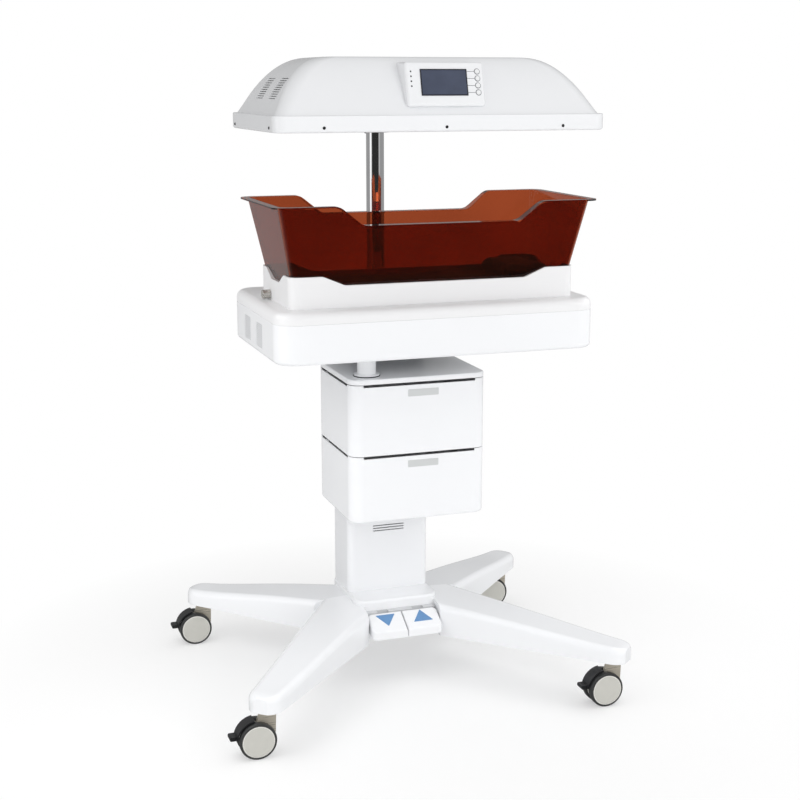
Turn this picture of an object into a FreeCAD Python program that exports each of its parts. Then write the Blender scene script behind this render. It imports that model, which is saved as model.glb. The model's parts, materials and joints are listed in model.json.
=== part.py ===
"""Infant phototherapy bed: hood, tub, light deck, cabinet, lift column and castor base.

Millimetres, +Z up. The origin is on the floor under the middle of the four castors,
-Y is the front (the control panel's side) and +X is the panel's right.
"""
import FreeCAD, Part
import math
import os
import re
import Sketcher
from types import SimpleNamespace

from FreeCAD import Placement, Rotation, Vector

SIZES = {
    # Castors
    "caster_span_x": 1010, "caster_span_y": 838, "caster_trail": 32, "wheel_radius": 50,
    "wheel_width": 21, "wheel_gap": 19, "tyre_depth": 6.5, "tyre_edge": 5, "cap_sink": 1.5,
    "fork_top": 130, "fork_plate": 7, "fork_plate_radius": 22, "fork_web": 10, "fork_seat": 0.4,
    "fork_taper": 2, "stem_radius": 6, "stem_length": 28, "axle_radius": 4, "axle_boss": 10,
    "axle_cover": 6.3, "cap_bevel": 4, "shaft_clearance": 0.05,
    "shell_gap": 3, "shell_thickness": 4, "shell_start": 98, "shell_end": 172, "shell_width": 40,
    "brake_arm": 3, "brake_arm_gap": 0.5, "brake_arm_angle": 24, "brake_collar": 3,
    "brake_tab_length": 20, "brake_tab_width": 30, "brake_tab_height": 11, "brake_tab_edge": 3.5,
    # Base hub and legs
    "hub_width": 260, "hub_bottom": 108, "hub_height": 119, "hub_front_reach": 93, "hub_back_reach": 14,
    "hub_corner": 40, "hub_edge": 8, "leg_root_x": 95, "leg_root_setback": 100, "leg_root_width": 190,
    "leg_root_lift": 4, "leg_root_drop": 7, "leg_tip_width": 96, "leg_tip_height": 47.6,
    "leg_tip_reach": 46, "leg_tip_end": 19, "leg_edge": 18,
    # Foot pedals
    "pedal_width": 106, "pedal_gap": 3, "pedal_bay": 4, "pedal_length": 69, "pedal_setback": 4,
    "pedal_pin_height": 67, "pedal_pin_radius": 4, "pedal_back_rise": 26, "pedal_front_drop": 12,
    "pedal_back_drop": 23, "pedal_lip_drop": 35, "pedal_lug_width": 34, "pedal_lug_radius": 7,
    "pedal_lug_clearance": 0.5, "pedal_bar_nose": 10, "pedal_bar_above": 23, "pedal_bar_below": 25,
    "pedal_bar_strip": 2.5, "pedal_edge": 6, "pedal_corner": 14,
    # Lift column
    "column_width": 252, "column_front": 88, "column_depth": 160, "column_height": 383,
    "column_wall": 4, "column_corner": 20, "slot_width": 97, "slot_height": 3, "slot_pitch": 8,
    "slot_rise": 194, "mast_gap": 6, "mast_overlap": 170, "mast_height": 570, "guide_gap": 0.2,
    "guide_width": 100, "guide_height": 46, "guide_drop": 4, "motor_width": 96, "motor_depth": 84,
    "motor_height": 74, "actuator_radius": 30, "actuator_height": 373, "rod_radius": 18,
    "rod_clearance": 0.5, "rod_overlap": 112,
    # Drawer cabinet
    "cabinet_width": 400, "cabinet_depth": 274, "cabinet_clearance": 4, "cabinet_wrap": 52,
    "cabinet_drop": 87,
    "cabinet_upper": 218, "cabinet_lower": 190, "cabinet_board": 14, "cabinet_gap": 2,
    "cabinet_corner": 36, "board_edge": 4, "back_plate": 5,
    "hanger_width": 160, "hanger_height": 138, "drawer_wall": 3, "drawer_floor": 4,
    "drawer_skirt": 34, "drawer_round": 8, "grip_depth": 6, "drawer_back_gap": 4, "runner_offset": 110,
    "runner_width": 14, "runner_height": 22, "runner_setback": 50, "runner_gap": 0.3,
    # Carrier plate, conduit post and chrome post
    "carrier_width": 360, "carrier_thickness": 15, "carrier_gap": 11, "carrier_tail": 47,
    "carrier_corner": 20, "post_setback": 56, "post_radius": 26, "post_wall": 3, "post_rise": 183,
    "post_round": 5, "socket_radius": 36, "socket_height": 60, "conduit_inset_x": 65,
    "conduit_inset_y": 63, "conduit_radius": 26, "conduit_flange_radius": 36, "conduit_flange": 6,
    # Lower light deck
    "deck_inset": 2, "deck_lip": 8, "deck_depth": 524, "tray_height": 104, "lid_height": 33,
    "deck_corner": 60, "deck_bottom_round": 10, "deck_top_round": 20, "deck_wall": 4, "deck_seam": 1.5,
    "deck_opening_length": 620, "deck_opening_width": 210, "window_lap": 16, "window_thickness": 3,
    "vent_length": 70, "vent_slit": 2, "vent_pitch": 5, "vent_count": 13, "vent_spread": 134,
    "deck_vent_offset": 277, "deck_vent_rise": 20, "lamp_radius": 13, "lamp_pitch": 52,
    "lamp_count": 4, "lamp_holder": 22, "holder_gap": 5, "holder_height": 62, "holder_overhang": 24,
    "fan_size": 84, "fan_depth": 25, "fan_bore_radius": 38, "fan_hub_radius": 17, "fan_strut": 5,
    "inlet_x": 250, "inlet_rise": 41, "inlet_width": 58, "inlet_height": 34, "inlet_flange": 3,
    "inlet_depth": 22, "inlet_socket_width": 40, "inlet_socket_height": 22, "inlet_socket_depth": 17,
    # Cradle and its tilt pivot
    "cradle_clearance": 0.6, "cradle_wall": 5, "cradle_corner": 29, "cradle_height": 72, "cradle_ledge": 26,
    "cradle_dip": 25, "cradle_high_run": 88, "cradle_slope_run": 60, "cradle_end_high_run": 66,
    "cradle_end_slope_run": 48, "cradle_round": 24, "tub_seat": 0.3, "pivot_height": 9,
    "pivot_offset": 60, "pivot_radius": 4, "lug_radius": 6, "lug_width": 20, "ear_clearance": 0.4,
    "ear_gap": 0.5, "ear_width": 5, "knob_offset": 54, "knob_height": 14, "knob_radius": 12,
    "knob_length": 22, "knob_gap": 1.2, "knob_edge": 2.5, "knob_stem_radius": 4, "knob_stem_depth": 3,
    # Tub, mattress and pillow
    "tub_length": 896, "tub_width": 408, "tub_reach": 251, "tub_lift": 10, "tub_height": 254,
    "tub_flange": 17, "tub_wall": 4, "tub_slope": 0.2035, "tub_corner": 36, "tub_corner_taper": 0.025,
    "tub_dip": 50, "tub_high_run": 169, "tub_slope_run": 62, "tub_dip_round": 36, "tub_foot_round": 16,
    "mattress_gap": 3, "mattress_lift": 0.3, "mattress_height": 32, "mattress_corner": 38,
    "mattress_draw": 5, "mattress_crown": 40, "pillow_inset": 10, "pillow_length": 150,
    "pillow_width": 220, "pillow_height": 38, "pillow_corner": 34, "pillow_draw": 9, "pillow_crown": 46,
    # Upper light hood
    "hood_length": 898, "hood_width": 488, "hood_offset": 22, "hood_clearance": 183, "hood_rim": 42,
    "hood_rise": 144, "hood_corner": 30, "hood_wall": 4, "hood_ledge_edge": 3, "dome_setback": 10,
    "dome_corner": 32, "dome_corner_grow": 6, "dome_wall": 6, "dome_roundness": 3, "dome_end_lean": 0.54,
    "dome_end_shoulder": 104, "dome_side_lean": 0.64, "dome_side_shoulder": 34, "hood_edge": 7,
    "hood_opening_length": 660, "hood_opening_width": 300, "hood_vent_offset": 218, "hood_vent_rise": 39,
    "hood_vent_pitch": 5.5, "hood_vent_depth": 24, "hood_vent_count": 10, "screw_radius": 4,
    "screw_head": 2.5, "screw_inset_x": 96, "screw_inset_y": 24, "screw_drop": 30, "arm_width": 180,
    "arm_height": 26, "arm_lift": 14, "sleeve_lift": 3, "sleeve_radius": 37, "sleeve_height": 78,
    "collar_height": 23, "collar_radius": 40, "collar_knob_radius": 19, "collar_knob_length": 24,
    "collar_knob_gap": 6, "lobe_radius": 6, "collar_screw_radius": 5, "collar_screw_depth": 12,
    "sleeve_seat": 0.3,
    # Control pod
    "pod_x": 4, "pod_width": 211, "pod_height": 114, "pod_tilt": 15, "pod_setback": 7, "pod_lift": 20,
    "pod_reach": 140, "pod_edge": 7, "screen_x": -4, "screen_v": 62, "screen_width": 126,
    "screen_height": 68, "screen_proud": 1.4, "screen_sink": 2, "screen_gap": 0.1, "key_x": 87.5,
    "key_v": 36, "key_pitch": 18, "key_radius": 6, "key_gap": 0.4, "key_height": 6,
    "key_proud": 2.4, "key_travel": 1.2, "key_edge": 0.8,
}

PLACES = {
    # Heights, from the floor up
    "leg_tip_bottom": "fork_top + fork_seat",
    "leg_tip_top": "leg_tip_bottom + leg_tip_height",
    "hub_top": "hub_bottom + hub_height",
    "leg_root_bottom": "hub_bottom + leg_root_lift",
    "leg_root_top": "hub_top - leg_root_drop",
    "pedal_pin_z": "hub_bottom + pedal_pin_height",
    "pedal_bar_bottom": "pedal_pin_z - pedal_bar_below",
    "pedal_bar_top": "pedal_pin_z + pedal_bar_above",
    "pedal_back_top": "pedal_pin_z + pedal_back_rise",
    "pedal_front_top": "pedal_pin_z - pedal_front_drop",
    "pedal_back_bottom": "pedal_pin_z - pedal_back_drop",
    "pedal_lip": "pedal_pin_z - pedal_lip_drop",
    "column_top": "hub_top + column_height",
    "slot_z": "hub_top + slot_rise",
    "actuator_top": "hub_top + actuator_height",
    "rod_bottom": "actuator_top - rod_overlap",
    "mast_bottom": "column_top - mast_overlap",
    "mast_top": "mast_bottom + mast_height",
    "deck_bottom": "mast_top + carrier_thickness",
    "cabinet_top": "deck_bottom - cabinet_drop",
    "cabinet_middle": "cabinet_top - cabinet_upper",
    "cabinet_bottom": "cabinet_middle - cabinet_lower",
    "hanger_bottom": "cabinet_top - hanger_height",
    "deck_parting": "deck_bottom + tray_height",
    "deck_top": "deck_parting + lid_height",
    "deck_vent_z": "deck_bottom + deck_vent_rise",
    "inlet_z": "deck_bottom + inlet_rise",
    "pivot_z": "deck_top + pivot_height",
    "knob_z": "deck_top + knob_height",
    "tub_floor": "deck_top + tub_lift",
    "tub_rim": "tub_floor + tub_height",
    "cradle_top": "tub_floor + cradle_height",
    "hood_bottom": "tub_rim + hood_clearance",
    "pod_z": "hood_bottom + hood_rim + pod_lift",
    "post_top": "hood_bottom + post_rise",
    # Places front to back
    "column_back": "column_front + column_depth",
    "hub_front": "column_front - hub_front_reach",
    "hub_back": "column_back + hub_back_reach",
    "leg_root_y": "hub_front + leg_root_setback",
    "pedal_pin_y": "hub_front - pedal_bar_strip - pedal_lug_clearance - pedal_lug_radius",
    "pedal_bar_front": "pedal_pin_y - pedal_bar_nose",
    "pedal_back": "pedal_bar_front - pedal_setback",
    "pedal_front": "pedal_back - pedal_length",
    "cabinet_back": "column_front - cabinet_clearance",
    "cabinet_front": "cabinet_back - cabinet_depth",
    "cabinet_rear": "column_front + cabinet_wrap",
    "drawer_back": "cabinet_back - back_plate - drawer_back_gap",
    "runner_front": "cabinet_front + runner_setback",
    "conduit_y": "cabinet_front + conduit_inset_y",
    "carrier_front": "conduit_y + conduit_radius + carrier_gap",
    "tub_y": "column_front - tub_reach",
    "knob_y": "tub_y + knob_offset",
    "deck_front": "tub_y - tub_width / 2 - deck_lip",
    "deck_back": "deck_front + deck_depth",
    "deck_vent_y": "deck_front + deck_vent_offset",
    "post_y": "deck_back + post_setback",
    "carrier_back": "post_y + carrier_tail",
    "hood_y": "tub_y + hood_offset",
    "hood_vent_y": "hood_y - hood_width / 2 + hood_vent_offset",
    "pod_y": "hood_y - hood_width / 2 + pod_setback",
    "screw_pitch_y": "hood_width - 2 * hood_corner - 2 * screw_inset_y",
    # Places side to side
    "conduit_x": "conduit_inset_x - cabinet_width / 2",
    "deck_length": "tub_length - 2 * deck_inset",
    "deck_holder_x": "deck_opening_length / 2 + window_lap + holder_gap + lamp_holder / 2",
    "hood_holder_x": "hood_opening_length / 2 + window_lap + holder_gap + lamp_holder / 2",
    "screw_pitch_x": "hood_length / 2 - hood_corner - screw_inset_x",
    "cradle_grow": "cradle_clearance + cradle_wall - tub_flange + (cradle_top - tub_rim) * tub_slope",
    "cradle_end": "tub_length / 2 + cradle_grow",
    "pivot_x": "cradle_end + lug_radius + ear_clearance",
}

WORD = re.compile(r"[a-z_]+")
doc = FreeCAD.newDocument("infant_phototherapy_bed")


def fill_sheet(name, contents):
    """A sheet with a name and a value in each row; returns the values by name."""
    sheet = doc.addObject("Spreadsheet::Sheet", name)
    for row, (alias, content) in enumerate(contents.items(), 1):
        sheet.set(f"A{row}", alias)
        sheet.set(f"B{row}", content)
        sheet.setAlias(f"B{row}", alias)
    doc.recompute()
    return {alias: float(sheet.get(alias)) for alias in contents}


def place_formula(text):
    def on_places(word):
        alias = word.group()
        return alias if alias in PLACES else "Sizes." + alias

    return "=" + WORD.sub(on_places, text)


size_values = fill_sheet("Sizes", {alias: str(value) for alias, value in SIZES.items()})
place_values = fill_sheet("Places", {alias: place_formula(text) for alias, text in PLACES.items()})
size = SimpleNamespace(**size_values, **place_values)

BASE = {"x": "Placement.Base.x", "y": "Placement.Base.y", "z": "Placement.Base.z"}
AXIS_TURN = {
    "x": Rotation(Vector(0, 1, 0), 90),
    "y": Rotation(Vector(1, 0, 0), -90),
    "z": Rotation(),
}
UP = Vector(0, 0, 1)
TOLERANCE = 1e-6
PICK_MARGIN = 1.0
SKETCH_START = 100
LEG_STEPS = 3
LEG_TIP_ANGLES = (30, 55, 75)
EDGE_SHARE = 0.8
CUSHION_FULL = 0.4
CUSHION_ANGLES = (-70, -35, 0, 25, 50, 70, 80)
DOME_ANGLES = (0, 15, 30, 45, 60, 72, 82, 90)
LOBE_COUNT = 6
KEY_COUNT = 4
THREE_PLACES = (-1, 0, 1)
nodes = {}


# Bound shapes: every bound is an expression on the two sheets
def on_sheet(word):
    alias = word.group()
    return ("Places." if alias in PLACES else "Sizes.") + alias


def bind(item, **texts):
    for name, text in texts.items():
        item.setExpression(BASE.get(name, name), WORD.sub(on_sheet, text))


def about(width, centre="0"):
    return (f"{centre} - ({width}) / 2", f"{centre} + ({width}) / 2")


def inset(bounds, amount):
    return (f"{bounds[0]} + ({amount})", f"{bounds[1]} - ({amount})")


def span(bounds):
    return f"({bounds[1]}) - ({bounds[0]})"


def box(name, x, y, z):
    item = doc.addObject("Part::Box", name)
    bind(item, x=x[0], y=y[0], z=z[0], Length=span(x), Width=span(y), Height=span(z))
    return item


def rod(name, axis, radius, x, y, z):
    """A cylinder along one axis; that axis gets two bounds and the others one place."""
    item = doc.addObject("Part::Cylinder", name)
    place = {"x": x, "y": y, "z": z}
    bounds = place[axis]
    place[axis] = bounds[0]
    item.Placement = Placement(Vector(), AXIS_TURN[axis])
    bind(item, Radius=radius, Height=span(bounds), **place)
    return item


def edge_names(shape, test):
    return [f"Edge{number}" for number, edge in enumerate(shape.Edges, 1) if test(edge)]


def at_height(level):
    return lambda edge: all(abs(vertex.Z - level) < TOLERANCE for vertex in edge.Vertexes)


def upright(edge):
    return abs(edge.tangentAt(edge.FirstParameter).z) > 1 - TOLERANCE


def block(name, x, y, z, corner, top="", bottom=""):
    """A slab with round upright corners, and with its top or bottom rim rounded if asked."""
    body = doc.addObject("PartDesign::Body", name)
    sketch = body.newObject("Sketcher::SketchObject", name + "_plan")
    plane = [item for item in body.Origin.OriginFeatures if item.Role == "XY_Plane"][0]
    sketch.AttachmentSupport = [(plane, "")]
    sketch.MapMode = "FlatFace"
    start = SKETCH_START
    corners = [Vector(0, 0, 0), Vector(start, 0, 0), Vector(start, start, 0), Vector(0, start, 0)]
    for number, point in enumerate(corners):
        sketch.addGeometry(Part.LineSegment(point, corners[(number + 1) % 4]), False)
    for number in range(4):
        sketch.addConstraint(Sketcher.Constraint("Coincident", number, 2, (number + 1) % 4, 1))
    for number, kind in enumerate(("Horizontal", "Vertical", "Horizontal", "Vertical")):
        sketch.addConstraint(Sketcher.Constraint(kind, number))
    sketch.addConstraint(Sketcher.Constraint("Coincident", 0, 1, -1, 1))
    width = sketch.addConstraint(Sketcher.Constraint("DistanceX", 0, 1, 0, 2, start))
    depth = sketch.addConstraint(Sketcher.Constraint("DistanceY", 1, 1, 1, 2, start))
    bind(sketch, **{f"Constraints[{width}]": span(x), f"Constraints[{depth}]": span(y)})
    pad = body.newObject("PartDesign::Pad", name + "_pad")
    pad.Profile = sketch
    bind(pad, Length=span(z))
    bind(body, x=x[0], y=y[0], z=z[0])
    doc.recompute()
    height = pad.Shape.BoundBox.ZMax
    last = pad
    for radius, test in ((corner, upright), (top, at_height(height)), (bottom, at_height(0))):
        if radius:
            last = round_edges(body, last, radius, test)
    return body


def round_edges(body, feature, radius, test):
    fillet = body.newObject("PartDesign::Fillet", f"{body.Name}_round")
    fillet.Base = (feature, edge_names(feature.Shape, test))
    bind(fillet, Radius=radius)
    doc.recompute()
    return fillet


def fuse(name, *shapes):
    item = doc.addObject("Part::MultiFuse", name)
    item.Shapes = list(shapes)
    return item


def group(name, *shapes):
    item = doc.addObject("Part::Compound", name)
    item.Links = list(shapes)
    return item


def cut(name, base, *tools):
    item = doc.addObject("Part::Cut", name)
    item.Base = base
    item.Tool = tools[0] if len(tools) == 1 else fuse(name + "_tools", *tools)
    return item


def free(name, shape, place=None):
    item = doc.addObject("Part::Feature", name)
    item.Shape = shape
    if place:
        item.Placement = place
    return item


def node(name, item):
    item.Label = name
    nodes[name] = item
    return item


# Free shapes: lofts, prisms and turned forms that read the sheet's values
def rounded_wire(length, width, corner, z, x=0.0, y=0.0, draw=0.0):
    """A closed outline with round corners; draw pulls the middle of each side in."""
    half_x, half_y = length / 2, width / 2
    straight_x, straight_y = half_x - corner, half_y - corner
    slant = corner * (1 - math.sqrt(0.5))
    edges = []
    for sign_x, sign_y, along_y in ((1, -1, True), (1, 1, False), (-1, 1, True), (-1, -1, False)):
        first = Vector(sign_x * half_x, sign_y * straight_y, 0)
        last = Vector(sign_x * straight_x, sign_y * half_y, 0)
        middle = Vector(sign_x * (half_x - slant), sign_y * (half_y - slant), 0)
        if along_y:
            start, end = last, first
            side = (end, Vector(end.x, -end.y, 0), Vector(end.x - sign_x * draw, 0, 0))
        else:
            start, end = first, last
            side = (end, Vector(-end.x, end.y, 0), Vector(0, end.y - sign_y * draw, 0))
        edges.append(Part.Arc(start, middle, end).toShape())
        if draw:
            edges.append(Part.Arc(side[0], side[2], side[1]).toShape())
        else:
            edges.append(Part.LineSegment(side[0], side[1]).toShape())
    wire = Part.Wire(edges)
    wire.translate(Vector(x, y, z))
    return wire


def prism(points, axis, start, end):
    """A polygon in the plane across an axis, extruded between two places on that axis."""
    lift = {"x": lambda a, b: Vector(start, a, b), "y": lambda a, b: Vector(a, start, b)}[axis]
    corners = [lift(a, b) for a, b in points]
    face = Part.Face(Part.makePolygon(corners + corners[:1]))
    direction = Vector(1, 0, 0) if axis == "x" else Vector(0, 1, 0)
    return face.extrude(direction * (end - start))


def along(direction):
    return lambda edge: abs(edge.tangentAt(edge.FirstParameter).dot(direction)) > 1 - TOLERANCE


def fillet_edges(shape, radius, test):
    return shape.makeFillet(radius, [edge for edge in shape.Edges if test(edge)])


def turned(points, centre, direction):
    """A profile of (distance along the axis, radius) turned about that axis."""
    side = Vector(0, 0, 1) if abs(direction.z) < TOLERANCE else Vector(1, 0, 0)
    corners = [centre + direction * reach + side * radius for reach, radius in points]
    face = Part.Face(Part.makePolygon(corners + corners[:1]))
    return face.revolve(centre, direction, 360)


def rim_cutter(length, centre, rim, dip, high_run, slope_run, radius, axis, depth, depth_centre):
    """What lies above a rim that is high at both ends and dips in the middle."""
    half = length / 2
    reach = length / 4
    top = rim + dip + reach
    line = [
        (-half - reach, rim), (-half + high_run, rim), (-half + high_run + slope_run, rim - dip),
        (half - high_run - slope_run, rim - dip), (half - high_run, rim), (half + reach, rim),
    ]
    points = [(centre + a, b) for a, b in line + [(half + reach, top), (-half - reach, top)]]
    shape = prism(points, axis, depth_centre - depth, depth_centre + depth)
    direction = Vector(1, 0, 0) if axis == "x" else Vector(0, 1, 0)
    inner = half - high_run + radius
    middle = Vector(0, centre, 0) if axis == "x" else Vector(centre, 0, 0)

    def on_rim(edge):
        offset = edge.CenterOfMass - middle
        across = offset.y if axis == "x" else offset.x
        return along(direction)(edge) and abs(across) < inner and edge.CenterOfMass.z < top - TOLERANCE

    return fillet_edges(shape, radius, on_rim)


# Base hub and legs
def build_base():
    hub = node("base_hub", block(
        "hub", about("hub_width"), ("hub_front", "hub_back"), ("hub_bottom", "hub_top"),
        "hub_corner", top="hub_edge"))
    bay = box("pedal_bay_space", about("2 * pedal_width + pedal_gap + 2 * pedal_bay"),
              ("hub_front - caster_span_y", "hub_front"), ("0", "2 * hub_top"))
    ahead = box("space_ahead", about("2 * caster_span_x"), ("-2 * caster_span_y", "leg_root_y"),
                ("0", "2 * hub_top"))
    behind = box("space_behind", about("2 * caster_span_x"), ("leg_root_y", "2 * caster_span_y"),
                 ("0", "2 * hub_top"))
    for end, sign_y in (("front", -1), ("back", 1)):
        for side, sign_x in (("left", -1), ("right", 1)):
            name = f"leg_{end}_{side}"
            bore = rod(name + "_bore", "z", "stem_radius + shaft_clearance",
                       f"{sign_x} * caster_span_x / 2", f"{sign_y} * caster_span_y / 2",
                       ("0", "fork_top + stem_length + fork_seat"))
            tools = (hub, behind, bay, bore) if sign_y < 0 else (hub, ahead, bore)
            node(name, cut(name, free(name + "_form", leg_form(sign_x, sign_y)), *tools))


def between(near, far, share):
    return near + (far - near) * share


def leg_section(width, bottom, top, distance):
    """An upright section with round upper edges, across the leg at a distance along it."""
    half = width / 2
    edge = min(size.leg_edge, half * EDGE_SHARE)
    slant = edge * (1 - math.sqrt(0.5))
    flat = half - edge
    line = [Vector(distance, -half, bottom), Vector(distance, half, bottom)]
    right_low = Vector(distance, half, top - edge)
    right_high = Vector(distance, flat, top)
    left_high = Vector(distance, -flat, top)
    left_low = Vector(distance, -half, top - edge)
    return Part.Wire([
        Part.LineSegment(line[0], line[1]).toShape(),
        Part.LineSegment(line[1], right_low).toShape(),
        Part.Arc(right_low, Vector(distance, half - slant, top - slant), right_high).toShape(),
        Part.LineSegment(right_high, left_high).toShape(),
        Part.Arc(left_high, Vector(distance, slant - half, top - slant), left_low).toShape(),
        Part.LineSegment(left_low, line[0]).toShape(),
    ])


def leg_form(sign_x, sign_y):
    """A tapering leg from its root beside the column to its round tip past the castor."""
    root = Vector(sign_x * size.leg_root_x, size.leg_root_y, 0)
    foot = Vector(sign_x * size.caster_span_x / 2, sign_y * size.caster_span_y / 2, 0)
    length = (foot - root).Length
    sections = []
    for step in range(LEG_STEPS + 1):
        share = step / LEG_STEPS
        sections.append(leg_section(
            between(size.leg_root_width, size.leg_tip_width, share),
            between(size.leg_root_bottom, size.leg_tip_bottom, share),
            between(size.leg_root_top, size.leg_tip_top, share), length * share))
    for angle in LEG_TIP_ANGLES:
        turn = math.radians(angle)
        sections.append(leg_section(
            between(size.leg_tip_end, size.leg_tip_width, math.cos(turn)), size.leg_tip_bottom,
            size.leg_tip_top - size.leg_edge * (1 - math.cos(turn)) / 2,
            length + size.leg_tip_reach * math.sin(turn)))
    shape = Part.makeLoft(sections, True, False)
    heading = math.degrees(math.atan2(foot.y - root.y, foot.x - root.x))
    shape.Placement = Placement(root, Rotation(UP, heading))
    return shape


# Castors: fork, twin wheels and brake shell, each drawn about its own swivel axis
def build_casters():
    fork, wheels, brake = caster_fork(), caster_wheels(), caster_brake()
    for end, sign_y in (("front", -1), ("back", 1)):
        for side, sign_x in (("left", -1), ("right", 1)):
            corner = Vector(sign_x * size.caster_span_x / 2, sign_y * size.caster_span_y / 2, 0)
            for part_name, shape in (("fork", fork), ("wheels", wheels), ("brake", brake)):
                name = f"caster_{part_name}_{end}_{side}"
                node(name, free(name, shape, Placement(corner, Rotation())))


def caster_fork():
    top, radius = size.fork_top, size.fork_plate_radius
    plate_bottom = top - size.fork_plate
    axle_x, axle_z = -size.caster_trail, size.wheel_radius
    boss = size.axle_boss
    half_web = size.fork_web / 2
    outline = [
        (-radius, plate_bottom), (radius, plate_bottom), (radius - size.fork_taper, axle_z + boss),
        (axle_x + boss, axle_z - boss), (axle_x - boss, axle_z - boss), (axle_x - boss, axle_z + boss),
    ]

    def below_plate(edge):
        return along(Vector(0, 1, 0))(edge) and edge.CenterOfMass.z < plate_bottom - PICK_MARGIN

    web = fillet_edges(prism(outline, "y", -half_web, half_web), boss / 2, below_plate)
    plate = Part.makeCylinder(radius, size.fork_plate, Vector(0, 0, plate_bottom))
    stem = Part.makeCylinder(size.stem_radius, size.stem_length, Vector(0, 0, top))
    reach = size.wheel_gap / 2 + size.wheel_width - size.axle_cover
    axle = Part.makeCylinder(size.axle_radius, 2 * reach, Vector(axle_x, -reach, axle_z), Vector(0, 1, 0))
    return web.fuse([plate, stem, axle]).removeSplitter()


def caster_wheels():
    """Two tyres with their hub caps, mirrored about the fork's middle."""
    centre = Vector(-size.caster_trail, 0, size.wheel_radius)
    inner, outer = size.wheel_gap / 2, size.wheel_gap / 2 + size.wheel_width
    cap_radius = size.wheel_radius - size.tyre_depth
    bore = size.axle_radius + size.shaft_clearance
    seat = outer - size.axle_cover + size.shaft_clearance
    tyre = turned([(inner, cap_radius), (inner, size.wheel_radius), (outer, size.wheel_radius),
                   (outer, cap_radius)], centre, Vector(0, -1, 0))
    tyre = fillet_edges(tyre, size.tyre_edge,
                        lambda edge: edge.BoundBox.XLength > 2 * cap_radius + PICK_MARGIN)
    cap = turned([(inner, bore), (inner, cap_radius), (outer - size.cap_sink, cap_radius),
                  (outer, cap_radius - size.cap_bevel), (outer, 0), (seat, 0), (seat, bore)],
                 centre, Vector(0, -1, 0))
    near = Part.makeCompound([tyre, cap])
    far = near.mirror(centre, Vector(0, 1, 0))
    return Part.makeCompound(near.Solids + far.Solids)


def caster_brake():
    """A curved shell over the wheels on two arms beside the web, with a foot tab."""
    axle = Vector(-size.caster_trail, 0, size.wheel_radius)
    inner = size.wheel_radius + size.shell_gap
    outer = inner + size.shell_thickness
    half = size.shell_width / 2
    sweep = size.shell_end - size.shell_start

    def ring(low, high, width, start, angle):
        face = turned_sector(low, high, start, angle)
        face.translate(Vector(axle.x, axle.y - width / 2, axle.z))
        return face.extrude(Vector(0, width, 0))

    shell = ring(inner, outer, 2 * half, size.shell_start, sweep)
    arm_gap = size.fork_web / 2 + size.brake_arm_gap
    bore = size.axle_radius + size.shaft_clearance
    middle = size.shell_start + sweep / 2
    tab_place = Vector(axle.x - outer - size.brake_tab_length + size.shell_thickness,
                       -size.brake_tab_width / 2, axle.z + size.brake_tab_height / 2)
    tab = Part.makeBox(size.brake_tab_length, size.brake_tab_width, size.brake_tab_height, tab_place)
    tab = fillet_edges(tab, size.brake_tab_edge, along(Vector(0, 1, 0)))
    pieces = [tab]
    for sign in (-1, 1):
        arm = ring(bore, inner + size.shell_thickness / 2, size.brake_arm,
                   middle - size.brake_arm_angle / 2, size.brake_arm_angle)
        collar = ring(bore, bore + size.brake_collar, size.brake_arm, 0, 360)
        for shape in (arm, collar):
            shape.translate(Vector(0, sign * (arm_gap + size.brake_arm / 2), 0))
            pieces.append(shape)
    return shell.fuse(pieces).removeSplitter()


def turned_sector(low, high, start, angle):
    """A flat ring sector in the XZ plane, from a start angle above +X."""
    if angle >= 360:
        rings = [Part.Wire(Part.makeCircle(radius, Vector(), Vector(0, 1, 0))) for radius in (high, low)]
        return Part.Face(rings[0]).cut(Part.Face(rings[1]))

    def point(radius, turn):
        return Vector(radius * math.cos(math.radians(turn)), 0, radius * math.sin(math.radians(turn)))

    middle, end = start + angle / 2, start + angle
    return Part.Face(Part.Wire([
        Part.Arc(point(high, start), point(high, middle), point(high, end)).toShape(),
        Part.LineSegment(point(high, end), point(low, end)).toShape(),
        Part.Arc(point(low, end), point(low, middle), point(low, start)).toShape(),
        Part.LineSegment(point(low, start), point(high, start)).toShape(),
    ]))


# Foot pedals on one pin, held by a notched bar on the hub's front
def build_pedals():
    lug_place = "(pedal_width + pedal_gap) / 2"
    bar = box("pedal_bar", about("2 * pedal_width + pedal_gap"), ("pedal_bar_front", "hub_front"),
              ("pedal_bar_bottom", "pedal_bar_top"))
    notches = [
        box(f"pedal_notch_{side}",
            about("pedal_lug_width + 2 * pedal_lug_clearance", f"{sign} * {lug_place}"),
            ("pedal_bar_front - pedal_edge", "hub_front - pedal_bar_strip"),
            ("pedal_bar_bottom - pedal_edge", "pedal_bar_top + pedal_edge"))
        for side, sign in (("left", -1), ("right", 1))
    ]
    bore = rod("pedal_bore", "x", "pedal_pin_radius + shaft_clearance",
               about("2 * pedal_width + pedal_gap"), "pedal_pin_y", "pedal_pin_z")
    node("pedal_housing", cut("pedal_housing", bar, *notches, bore))
    node("pedal_pin", rod("pedal_pin", "x", "pedal_pin_radius", about("2 * pedal_width + pedal_gap"),
                          "pedal_pin_y", "pedal_pin_z"))
    for name, sign in (("pedal_down", -1), ("pedal_up", 1)):
        node(name, free(name, pedal_form(sign)))


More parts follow.
